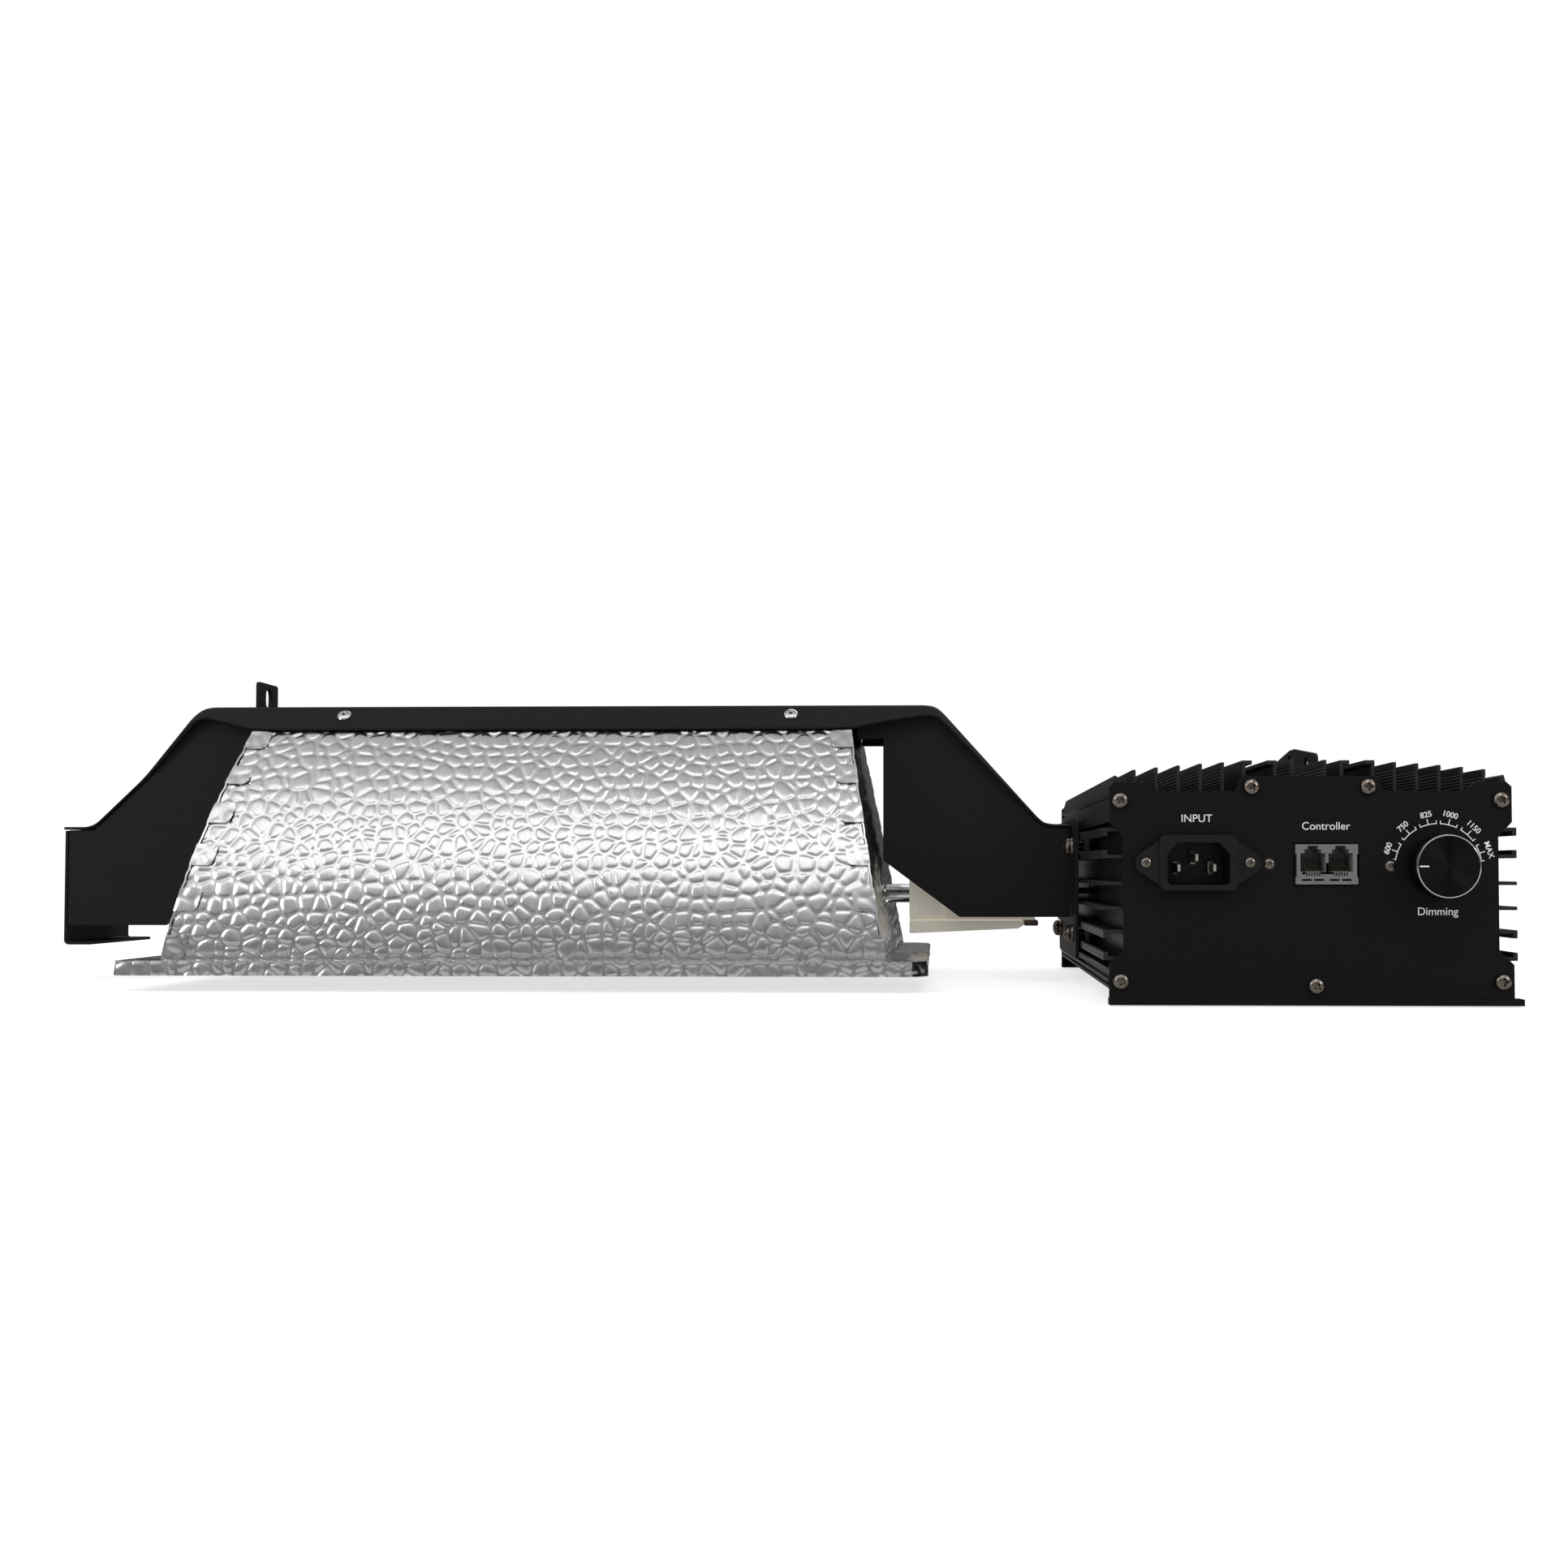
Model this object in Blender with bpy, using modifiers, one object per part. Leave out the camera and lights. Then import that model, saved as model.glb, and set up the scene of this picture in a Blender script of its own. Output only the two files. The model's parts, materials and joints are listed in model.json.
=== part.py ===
"""Double-ended grow lamp: finned ballast, bent sheet frame, hammered reflector, lamp and holders.

World frame: X runs along the lamp, Y is depth (the dimmer faces -Y), +Z is up.
The origin is the bottom centre of the whole object. Sizes below are in millimetres.
"""
import math

import bmesh
import bpy
from mathutils import Vector

MM = 0.001
GAP = 0.35                    # clearance kept between pieces that touch
SHEET = 1.5                   # steel sheet of the frame
RAIL = 1.2                    # thickness of the top rail
FOIL = 0.8                    # aluminium sheet of the reflector
SCREW_SIDES = 16

# Lamp and reflector stand on one vertical plane along X.
LAMP_X = -85.0
LAMP_Y = 41.2
LAMP_Z = 41.1

# Ballast
BOX_X = 240.6                 # middle of the housing
FRONT_Y = -128.1              # front face of the front plate
PLATE = 2.0
HOUSING_FRONT = FRONT_Y + PLATE + GAP
HOUSING_BACK = 138.7
REAR_Y = HOUSING_BACK + GAP   # inner face of the rear plate
FIN = 1.4
FIN_ROOT_Z = 80.0
FIN_CROWN_Z = 95.5
FIN_ARCH = 8.3e-4             # how much the row of fin tips drops, per mm squared
FIN_PITCH = 8.6
FIN_FIRST = 33.3
FIN_COUNT = 5
CENTRE_FIN = 6.4
WALL_OUT = 71.0
WALL_IN = 68.5
SIDE_FIN_OUT = 80.0
SLOT_UPPER_Z = 63.0
SLOT_LOWER_Z = 23.2
SLOT_HALF = 5.95              # half height of a side T-slot over its lips
SLOT_MOUTH = 2.75             # half height of its mouth
SLOT_LIP = 1.8
SIDE_FINS_Z = (47.3, 37.6)
BORE = 1.6                    # screw channels in the housing
CORNER_SCREW_X = 73.4
UPPER_SCREW_Z = 79.6
LOWER_SCREW_Z = 9.2
CROWN_SCREW_X = 22.5
CROWN_SCREW_Z = 84.8
BASE_SCREW = (1.9, 7.6)
FOOT_RIGHT_X = 322.0

# Inlet, ports and dimmer on the front plate
INLET_X = 196.9
INLET_Z = 55.3
PORT_X = 246.8
PORT_Z = 54.65
PORT_W = 24.4
PORT_H = 15.7
KNOB_X = 289.8
KNOB_Z = 53.85
KNOB_R = 12.3
KNOB_FRONT_Y = -143.0
SHAFT_R = 2.9

# Frame
RAIL_HALF = 28.4              # half width of the top rail
SIDE_HALF = 27.4              # outer faces of the side sheets, from the lamp plane
RAIL_TOP = 130.3
LEFT_X = -322.0
MOUNT_X = 158.5               # outer face of the plate that carries the ballast
SIDE_BOTTOM = {1: 30.3, -1: 26.0}
ARM_X = (-228.0, 58.0)        # where the side sheets' upper arms meet the reflector
SHELF_Z = 62.6                # underside of the shelf that holds a lampholder
BAND_OUT = 10.6               # how far the flared band stands out from the rail
BAND_DROP = 11.3

MOUNT_SCREW_Y = (3.0, 80.0)
LEAD_Z = 42.4                 # height of the leads where they enter the housing
HANGER_X = 270.5
HANGER_FOOT_X = 252.0
HANGER_BOLT_X = BOX_X + 18.9
HANGER_BOLT_Y = (16.0, 102.0)

# Reflector: the side sheets follow half(z) = REF_HALF - REF_PULL * t ** REF_POWER
REF_Z0 = 13.3
REF_RISE = 106.0
REF_HALF = 86.0
REF_PULL = 50.0
REF_POWER = 1.8
REF_STEPS = 11                # every other step carries a tab of the end sheet
REF_TABS_TOP = 117.0
REF_ROOF_Z = 123.0
REF_END = {1: 159.2, -1: 162.0}    # reach of each end from the lamp's middle, at the bottom
REF_LEAN = {1: 19.0, -1: 21.6}     # shorter by this much at the top
FLANGE_HALF = 101.8
REF_SKEW = {1: 0.026, -1: 0.0}     # the end by the ballast isn't quite square to the lamp
FLANGE_END = {1: 176.2, -1: 177.0}
FLANGE_Z = 12.9
LIP_Z = 6.6
CHAMFER = 6.5
TAB = 10.0
NECK_SLOT = 7.0               # half width of the slot for the lamp neck

# Lampholders
HOLDER_NEAR = 167.5           # inner face, from the middle of the lamp
HOLDER_FAR = 227.0
HOLDER_HALF = 20.0
HOLDER_SEAM = {1: 28.8, -1: 31.4}    # the free end's holder has only a thin lid under it
HOLDER_TOP = 62.2

PARTS = bpy.data.collections.new("grow_lamp")
CUTTERS = bpy.data.collections.new("cutters")


def clear_scene():
    for obj in list(bpy.data.objects):
        bpy.data.objects.remove(obj, do_unlink=True)
    bpy.context.scene.collection.children.link(PARTS)
    bpy.context.scene.collection.children.link(CUTTERS)


def finish(name, colour, roughness, metallic, transmission=0.0):
    """A Principled BSDF material."""
    material = bpy.data.materials.new(name)
    material.use_nodes = True
    shader = material.node_tree.nodes["Principled BSDF"]
    shader.inputs["Base Color"].default_value = (*colour, 1.0)
    shader.inputs["Roughness"].default_value = roughness
    shader.inputs["Metallic"].default_value = metallic
    shader.inputs["Transmission Weight"].default_value = transmission
    return material


def link(obj, material, collection=PARTS):
    collection.objects.link(obj)
    obj.data.materials.append(material)
    return obj


def scaled(points):
    return [tuple(c * MM for c in point) for point in points]


# ---------------------------------------------------------------- outlines

def circle(cx, cy, radius, count=12):
    step = 2 * math.pi / count
    return [(cx + radius * math.cos(i * step), cy + radius * math.sin(i * step)) for i in range(count)]


def arc(cx, cy, radius, start, end, count=5):
    """Points on an arc, angles in degrees."""
    angles = [math.radians(start + (end - start) * i / count) for i in range(count + 1)]
    return [(cx + radius * math.cos(a), cy + radius * math.sin(a)) for a in angles]


def rectangle(x0, y0, x1, y1):
    return [(x0, y0), (x1, y0), (x1, y1), (x0, y1)]


def rounded(x0, y0, x1, y1, radius, count=3):
    corners = [(x1 - radius, y0 + radius, -90), (x1 - radius, y1 - radius, 0),
               (x0 + radius, y1 - radius, 90), (x0 + radius, y0 + radius, 180)]
    return [p for cx, cy, start in corners for p in arc(cx, cy, radius, start, start + 90, count)]


def stadium(cx, cy, half_width, half_height, count=6):
    """An upright slot with round ends."""
    reach = half_height - half_width
    return (arc(cx, cy + reach, half_width, 0, 180, count)
            + arc(cx, cy - reach, half_width, 180, 360, count))


def mirrored(half, middle=0.0):
    """A closed outline from its right half, listed from the top centre to the bottom centre."""
    right = [(middle + x, y) for x, y in half]
    left = [(middle - x, y) for x, y in reversed(half)]
    return right + left


def offset_line(line, distance):
    """The open line moved to the right of its own direction, with mitred corners."""
    places = [Vector(p) for p in line]
    sides = [(b - a).normalized() for a, b in zip(places, places[1:])]
    normals = [Vector((d.y, -d.x)) for d in sides]
    result = []
    for i, place in enumerate(places):
        first = normals[max(i - 1, 0)]
        second = normals[min(i, len(normals) - 1)]
        mitre = (first + second).normalized()
        moved = place + mitre * (distance / mitre.dot(first))
        result.append((moved.x, moved.y))
    return result


# ---------------------------------------------------------------- makers

FACING = {
    "XY": (0.0, 0.0, 0.0),
    "XZ": (math.pi / 2, 0.0, 0.0),
    "YZ": (math.pi / 2, 0.0, math.pi / 2),
}


def plate(name, outlines, plane, start, thickness, material, collection=PARTS):
    """A flat piece: outlines in the given plane, from start, thickness along the plane's normal."""
    curve = bpy.data.curves.new(name, "CURVE")
    curve.dimensions = "2D"
    curve.fill_mode = "BOTH"
    curve.extrude = thickness * MM / 2
    for outline in outlines:
        spline = curve.splines.new("POLY")
        spline.points.add(len(outline) - 1)
        for point, (u, v) in zip(spline.points, outline):
            point.co = (u * MM, v * MM, 0.0, 1.0)
        spline.use_cyclic_u = True
    obj = bpy.data.objects.new(name, curve)
    obj.rotation_euler = FACING[plane]
    normal = {"XY": (0, 0, 1), "XZ": (0, 1, 0), "YZ": (1, 0, 0)}[plane]
    obj.location = Vector(normal) * (start + thickness / 2) * MM
    return link(obj, material, collection)


def as_mesh(obj):
    """Turn a curve object into a mesh object with welded caps, for a Boolean."""
    bpy.context.view_layer.update()
    graph = bpy.context.evaluated_depsgraph_get()
    mesh = bpy.data.meshes.new_from_object(obj.evaluated_get(graph))
    weld(mesh)
    solid = bpy.data.objects.new(obj.name, mesh)
    solid.matrix_world = obj.matrix_world.copy()
    name = obj.name
    home = obj.users_collection[0]
    bpy.data.objects.remove(obj, do_unlink=True)
    home.objects.link(solid)
    solid.name = name
    return solid


def weld(mesh):
    work = bmesh.new()
    work.from_mesh(mesh)
    bmesh.ops.remove_doubles(work, verts=work.verts, dist=1e-6)
    bmesh.ops.recalc_face_normals(work, faces=work.faces)
    work.to_mesh(mesh)
    work.free()


def box(name, low, high, material, collection=PARTS, bevel=0.0):
    mesh = bpy.data.meshes.new(name)
    work = bmesh.new()
    bmesh.ops.create_cube(work, size=1.0)
    size = [(b - a) * MM for a, b in zip(low, high)]
    bmesh.ops.scale(work, vec=size, verts=work.verts)
    work.to_mesh(mesh)
    work.free()
    obj = bpy.data.objects.new(name, mesh)
    obj.location = [(a + b) * MM / 2 for a, b in zip(low, high)]
    link(obj, material, collection)
    if bevel:
        soften(obj, bevel)
    return obj


def soften(obj, width, segments=1):
    bevel = obj.modifiers.new("edges", "BEVEL")
    bevel.width = width * MM
    bevel.segments = segments
    bevel.limit_method = "ANGLE"
    bevel.angle_limit = math.radians(40)
    return bevel


def turned(name, profile, place, direction, material, sides=24, ring=False, collection=PARTS):
    """A turned piece. The profile (radius, height) runs down its outer side; height is along direction."""
    mesh = bpy.data.meshes.new(name)
    points = scaled([(radius, 0.0, height) for radius, height in profile])
    edges = [(i, i + 1) for i in range(len(points) - 1)]
    if ring:
        edges.append((len(points) - 1, 0))
    mesh.from_pydata(points, edges, [])
    obj = bpy.data.objects.new(name, mesh)
    obj.location = Vector(place) * MM
    obj.rotation_mode = "QUATERNION"
    obj.rotation_quaternion = Vector(direction).to_track_quat("Z", "Y")
    screw = obj.modifiers.new("turn", "SCREW")
    screw.axis = "Z"
    screw.steps = sides
    screw.render_steps = sides
    screw.use_merge_vertices = True
    screw.merge_threshold = 1e-6
    screw.use_smooth_shade = True
    return link(obj, material, collection)


def wire(name, route, diameter, material, count):
    """A lead along a smooth curve through its route's points."""
    curve = bpy.data.curves.new(name, "CURVE")
    curve.dimensions = "3D"
    curve.bevel_depth = diameter * MM / 2
    curve.bevel_resolution = 2
    curve.use_fill_caps = True
    points = smooth_route(route, count)
    spline = curve.splines.new("POLY")
    spline.points.add(len(points) - 1)
    for point, place in zip(spline.points, points):
        point.co = (*(place * MM), 1.0)
    return link(bpy.data.objects.new(name, curve), material)


def smooth_route(route, count):
    """Catmull-Rom points through a route."""
    places = [Vector(p) for p in route]
    ends = [2 * places[0] - places[1]] + places + [2 * places[-1] - places[-2]]
    result = []
    for i in range(count + 1):
        t = (len(places) - 1) * i / count
        k = min(int(t), len(places) - 2)
        u = t - k
        a, b, c, d = ends[k:k + 4]
        result.append(0.5 * (2 * b + (c - a) * u + (2 * a - 5 * b + 4 * c - d) * u ** 2
                             + (3 * b - a - 3 * c + d) * u ** 3))
    return result


def boolean(obj, tool, operation="DIFFERENCE"):
    """Cut or join with the EXACT solver; the tool stays in the scene as a wire guide."""
    modifier = obj.modifiers.new(operation.lower(), "BOOLEAN")
    modifier.operation = operation
    modifier.object = tool
    modifier.solver = "EXACT"
    tool.display_type = "WIRE"
    tool.hide_render = True


def sheet(name, points, faces, thickness, material, offset=1.0):
    """An open surface given a thickness."""
    mesh = bpy.data.meshes.new(name)
    mesh.from_pydata(scaled(points), [], faces)
    obj = bpy.data.objects.new(name, mesh)
    solid = obj.modifiers.new("thickness", "SOLIDIFY")
    solid.thickness = thickness * MM
    solid.offset = offset
    solid.use_even_offset = True
    solid.use_quality_normals = True
    return link(obj, material)


# ---------------------------------------------------------------- frame

def rail_profile():
    """Outer line of the top rail in XZ, from its left end to the ballast plate."""
    left = [(LEFT_X, 73.0), (-308.4, 73.0), (-283.0, 97.2), (-259.5, 126.6), (-253.5, RAIL_TOP)]
    right = [(92.5, RAIL_TOP), (97.0, 128.4), (144.6, 75.4), (148.5, 74.0), (MOUNT_X - GAP, 74.0)]
    return left, right


def flare_stations():
    """Stations along the rail: x, z, and how far the band is flared there (0 to 1)."""
    left, right = rail_profile()
    flares_left = [0.0, 0.0, 0.06, 0.36, 0.42]
    flares_right = [0.42, 0.36, 0.05, 0.0, 0.0]
    stations = [(x, z, f) for (x, z), f in zip(left, flares_left)]
    stations += [(-240.0, RAIL_TOP, 0.72), (-226.0, RAIL_TOP, 1.0), (56.0, RAIL_TOP, 1.0)]
    stations += [(72.0, RAIL_TOP, 0.7)]
    stations += [(x, z, f) for (x, z), f in zip(right, flares_right)]
    return stations


def top_rail(material):
    """Bent strip over the whole frame; in the middle its edges flare into a band over the reflector."""
    points = []
    for x, z, flare in flare_stations():
        out = max(BAND_OUT * flare, 0.35)
        drop = max(BAND_DROP * flare, 0.9)
        points += [(x, LAMP_Y - RAIL_HALF - out, z - drop), (x, LAMP_Y - RAIL_HALF, z),
                   (x, LAMP_Y + RAIL_HALF, z), (x, LAMP_Y + RAIL_HALF + out, z - drop)]
    faces = []
    for i in range(len(points) // 4 - 1):
        a = 4 * i
        faces += [(a + k, a + 4 + k, a + 5 + k, a + 1 + k) for k in range(3)]
    return sheet("top_rail", points, faces, RAIL, material, offset=-1.0)


def side_outline(side):
    """A side sheet's outline in XZ. side is 1 at the ballast and -1 at the free end."""
    left, right = rail_profile()
    under = offset_line(left + right, RAIL + GAP)
    if side > 0:
        tops = [(ARM_X[1], under[5][1])] + under[5:]
        inner = [(106.2, SIDE_BOTTOM[1]), (70.3, 56.9), (70.3, 114.5), (ARM_X[1], 114.5)]
    else:
        tops = list(reversed(under[:5]))
        end = LEFT_X + SHEET + GAP
        tops = [(ARM_X[0], tops[0][1])] + tops[:-1] + [(end, tops[-1][1])]
        inner = [(-272.5, SIDE_BOTTOM[-1]), (-243.4, 43.9), (-229.8, 112.5), (ARM_X[0], 112.5)]
    far = tops[-1][0]
    return tops + [(far, SIDE_BOTTOM[side])] + inner


def end_bracket(name, side, material):
    """Two side sheets joined by the shelf that a lampholder hangs from."""
    outline = side_outline(side)
    front = as_mesh(plate(name, [outline], "XZ", LAMP_Y - SIDE_HALF, SHEET, material))
    back = plate(name + "_back", [outline], "XZ", LAMP_Y + SIDE_HALF - SHEET, SHEET, material, CUTTERS)
    near = LAMP_X + side * (HOLDER_NEAR + 4)
    far = LAMP_X + side * (HOLDER_FAR - 4)
    shelf = box(name + "_shelf", (min(near, far), LAMP_Y - SIDE_HALF + SHEET / 2, SHELF_Z),
                (max(near, far), LAMP_Y + SIDE_HALF - SHEET / 2, SHELF_Z + SHEET), material, CUTTERS)
    boolean(front, as_mesh(back), "UNION")
    boolean(front, shelf, "UNION")
    return front


def left_end_plate(material):
    """Closes the free end, with a lip turned in at the bottom."""
    low = 16.7
    lip = 13.0
    y0 = LAMP_Y - SIDE_HALF
    y1 = LAMP_Y + SIDE_HALF + 10.5
    bend = [(LEFT_X, 71.2), (LEFT_X, low + 2.0), (LEFT_X + 0.6, low + 0.6), (LEFT_X + 2.0, low)]
    bend.append((LEFT_X + lip, low))
    points = [(x, y, z) for x, z in bend for y in (y0, y1)]
    faces = [(2 * i, 2 * i + 1, 2 * i + 3, 2 * i + 2) for i in range(len(bend) - 1)]
    return sheet("left_end_plate", points, faces, SHEET, material, offset=-1.0)


def mount_plate(material):
    """Carries the ballast; bolted into the T-slots of the housing."""
    outline = rounded(-13.5, 12.0, 94.5, 76.0, 2.0)
    holes = [circle(y, z, 2.9) for y in MOUNT_SCREW_Y for z in (SLOT_UPPER_Z, SLOT_LOWER_Z)]
    holes.append(circle(LAMP_Y, LEAD_Z, 4.4))
    return plate("ballast_mount_plate", [outline] + holes, "YZ", MOUNT_X, SHEET, material)


def mount_screws(material):
    """Pan-head screws with their nuts drawn up inside the T-slots."""
    profile = [(0.0, 3.3), (2.2, 3.1), (3.6, 2.2), (4.1, 0.9), (4.1, 0.0), (2.4, 0.0), (2.4, -5.0),
               (4.2, -5.0), (4.2, -7.6), (0.0, -7.6)]
    for y, row in zip(MOUNT_SCREW_Y, ("front", "rear")):
        for z, level in ((SLOT_UPPER_Z, "upper"), (SLOT_LOWER_Z, "lower")):
            turned(f"mount_screw_{row}_{level}", profile, (MOUNT_X - GAP, y, z), (-1, 0, 0), material,
                   SCREW_SIDES)


def hanger_tab(material):
    """Slotted ear on top of the rail."""
    outline = [(29.0, RAIL_TOP + GAP), (53.2, RAIL_TOP + GAP)] + arc(51.7, 142.7, 1.5, 0, 90, 3)
    outline += arc(30.5, 142.7, 1.5, 90, 180, 3)
    hole = stadium(41.2, 136.8, 3.7, 5.2)
    return plate("hanger_tab", [outline, hole], "YZ", -236.2, 2.0, material)


def ballast_hanger(material):
    """Angle on top of the fins, with two holes in its upright leg."""
    foot_z = FIN_CROWN_Z + GAP
    outline = [(114.5, foot_z), (114.5, 104.4), (113.6, 105.8), (111.8, 106.6), (64.0, 111.7),
               (54.0, 111.7), (6.2, 106.6), (4.4, 105.8), (3.5, 104.4), (3.5, foot_z)]
    holes = [circle(24.5, 101.8, 4.0), circle(64.0, 105.4, 4.0)]
    upright = as_mesh(plate("ballast_hanger", [outline] + holes, "YZ", HANGER_X, SHEET, material))
    foot = plate("hanger_foot", [rectangle(HANGER_FOOT_X, 3.5, HANGER_X + SHEET / 2, 114.5)]
                 + [circle(HANGER_BOLT_X, y, 2.9) for y in HANGER_BOLT_Y],
                 "XY", foot_z, SHEET, material, CUTTERS)
    boolean(upright, as_mesh(foot), "UNION")
    return upright


def hanger_bolts(material):
    profile = [(0.0, 3.2), (2.2, 3.0), (3.6, 2.1), (4.1, 0.9), (4.1, 0.0), (2.4, 0.0), (2.4, -4.3),
               (4.4, -4.3), (4.4, -6.3), (0.0, -6.3)]
    top = FIN_CROWN_Z + GAP + SHEET + GAP
    for y, name in zip(HANGER_BOLT_Y, ("hanger_bolt_front", "hanger_bolt_rear")):
        turned(name, profile, (HANGER_BOLT_X, y, top), (0, 0, 1), material, SCREW_SIDES)


# ---------------------------------------------------------------- reflector

def half_width(z):
    """Half width of the reflector's outer surface at height z."""
    t = (z - REF_Z0) / REF_RISE
    return REF_HALF - REF_PULL * t ** REF_POWER


def end_reach(z, side, across=0.0):
    """How far the end on that side is from the lamp's middle, at height z and across from its plane."""
    return REF_END[side] - REF_LEAN[side] * (z - REF_Z0) / REF_RISE + REF_SKEW[side] * across


def curve_heights():
    """Heights that split the curved side into nearly equal arcs."""
    fine = [REF_Z0 + (REF_TABS_TOP - REF_Z0) * i / 400 for i in range(401)]
    lengths = [0.0]
    for z0, z1 in zip(fine, fine[1:]):
        lengths.append(lengths[-1] + math.hypot(z1 - z0, half_width(z1) - half_width(z0)))
    heights = []
    for i in range(REF_STEPS + 1):
        target = lengths[-1] * i / REF_STEPS
        heights.append(fine[min(range(401), key=lambda k: abs(lengths[k] - target))])
    return heights


def reflector_line():
    """The side's outline from the bottom of the curve to the roof's edge, as (half width, z)."""
    top_z = REF_Z0 + REF_RISE
    line = [(half_width(z), z) for z in curve_heights() + [top_z]]
    slope = REF_PULL * REF_POWER / REF_RISE
    top_half = line[-1][0]
    line.append((top_half - slope * (REF_ROOF_Z - top_z), REF_ROOF_Z))
    return line


def side_sheet(name, side, material):
    """A curved side with its half of the roof, its flange and its turned-down lip.

    side is -1 in front and 1 behind.
    """
    line = reflector_line()
    points = []

    def add(x, half, z):
        points.append((LAMP_X + x, LAMP_Y + side * half, z))
        return len(points) - 1

    faces = []
    left = -FLANGE_END[-1]
    end = FLANGE_END[1]
    feet = (-end_reach(REF_Z0, -1, side * REF_HALF), end_reach(REF_Z0, 1, side * REF_HALF))
    inner = [add(x, REF_HALF, FLANGE_Z) for x in (left, feet[0], feet[1], end)]
    cut = CHAMFER
    edge = [(left, FLANGE_HALF), (end - cut, FLANGE_HALF), (end, FLANGE_HALF - cut)]
    rims = [add(x, half, FLANGE_Z) for x, half in edge]
    middle = [add(x, FLANGE_HALF, FLANGE_Z) for x in feet]
    faces.append((inner[0], inner[1], middle[0], rims[0]))
    faces.append((inner[1], inner[2], middle[1], middle[0]))
    faces.append((inner[2], inner[3], rims[2], rims[1], middle[1]))
    lip_path = [inner[0], rims[0], middle[0], middle[1], rims[1], rims[2], inner[3]]
    lows = []
    for index in lip_path:
        x, y, z = points[index]
        lows.append(add(x - LAMP_X, side * (y - LAMP_Y), LIP_Z))
    for i in range(len(lip_path) - 1):
        faces.append((lip_path[i], lip_path[i + 1], lows[i + 1], lows[i]))
    previous = (inner[1], inner[2])
    for half, z in line[1:] + [(GAP, REF_ROOF_Z)]:
        row = (add(-end_reach(z, -1, side * half), half, z), add(end_reach(z, 1, side * half), half, z))
        faces.append((previous[0], previous[1], row[1], row[0]))
        previous = row
    return sheet_towards(name, points, faces, FOIL, material, Vector((LAMP_X, LAMP_Y, 60.0)))


def sheet_towards(name, points, faces, thickness, material, inside):
    """A sheet whose thickness grows towards the point inside."""
    obj = sheet(name, points, faces, thickness, material, offset=-1.0)
    work = bmesh.new()
    work.from_mesh(obj.data)
    bmesh.ops.recalc_face_normals(work, faces=work.faces)
    biggest = max(work.faces, key=lambda f: f.calc_area())
    centre = biggest.calc_center_median()
    if biggest.normal.dot(centre - inside * MM) < 0:
        bmesh.ops.reverse_faces(work, faces=work.faces)
    work.to_mesh(obj.data)
    work.free()
    return obj


def end_sheet(name, side, material):
    """An end of the reflector: leaning face, tabs folded over both sides, flange and lip.

    side is 1 at the ballast and -1 at the free end. The lamp neck's slot is open at the bottom.
    """
    reach = GAP + FOIL
    points = []
    faces = []

    def add(out, across, z):
        points.append((LAMP_X + side * out, LAMP_Y + across, z))
        return len(points) - 1

    def on_face(across, z):
        return add(end_reach(z, side, across) + reach, across, z)

    foot_z = FLANGE_Z + GAP
    curve = [(REF_HALF, foot_z)] + reflector_line()[1:REF_STEPS + 1]
    rim = offset_line(curve, reach)
    inset = REF_HALF - reach
    crown = LAMP_Z + NECK_SLOT
    slot = [(NECK_SLOT, FLANGE_Z), (NECK_SLOT, LAMP_Z), (NECK_SLOT * 0.7, crown - NECK_SLOT * 0.3)]
    slot.append((0.0, crown))
    half = [(30.0, REF_ROOF_Z - 1.6)] + list(reversed(rim)) + [(inset, foot_z), (inset, FLANGE_Z)] + slot
    right = [on_face(across, z) for across, z in half]
    left = [on_face(-across, z) for across, z in half[:-1]]
    faces.append(tuple(right + list(reversed(left))))
    for edge, sign in ((right, 1), (left, -1)):
        curve_edge = list(reversed(edge[1:len(rim) + 1]))
        for i in range(0, REF_STEPS, 2):
            tips = []
            for index in (curve_edge[i], curve_edge[i + 1]):
                x, y, z = points[index]
                tips.append(add(side * (x - LAMP_X) - TAB, y - LAMP_Y, z))
            faces.append((curve_edge[i], curve_edge[i + 1], tips[1], tips[0]))
        outer_foot = edge[len(rim) + 2]
        slot_foot = edge[len(rim) + 3]
        rows = []
        for z in (FLANGE_Z, LIP_Z):
            rows.append((add(FLANGE_END[side], sign * inset, z), add(FLANGE_END[side], sign * NECK_SLOT, z)))
        faces.append((outer_foot, slot_foot, rows[0][1], rows[0][0]))
        faces.append((rows[0][0], rows[0][1], rows[1][1], rows[1][0]))
    return sheet_towards(name, points, faces, FOIL, material, Vector((LAMP_X, LAMP_Y, 60.0)))


def rivets(material):
    """Heads of the blind rivets on the flared band."""
    profile = [(0.0, 1.1), (1.4, 1.1), (2.6, 0.8), (3.3, 0.0), (0.0, 0.0)]
    lean = math.atan2(BAND_OUT, BAND_DROP)
    for sign, row in ((-1, "front"), (1, "rear")):
        direction = (0, sign * math.cos(lean), math.sin(lean))
        along = 0.42
        spot = Vector((0, LAMP_Y + sign * (RAIL_HALF + BAND_OUT * along), RAIL_TOP - BAND_DROP * along))
        for x, column in ((-185.5, "left"), (27.0, "right")):
            place = spot + Vector((x, 0, 0)) + Vector(direction) * GAP
            turned(f"rivet_{row}_{column}", profile, place, direction, material, SCREW_SIDES)


# ---------------------------------------------------------------- lamp and holders

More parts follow.
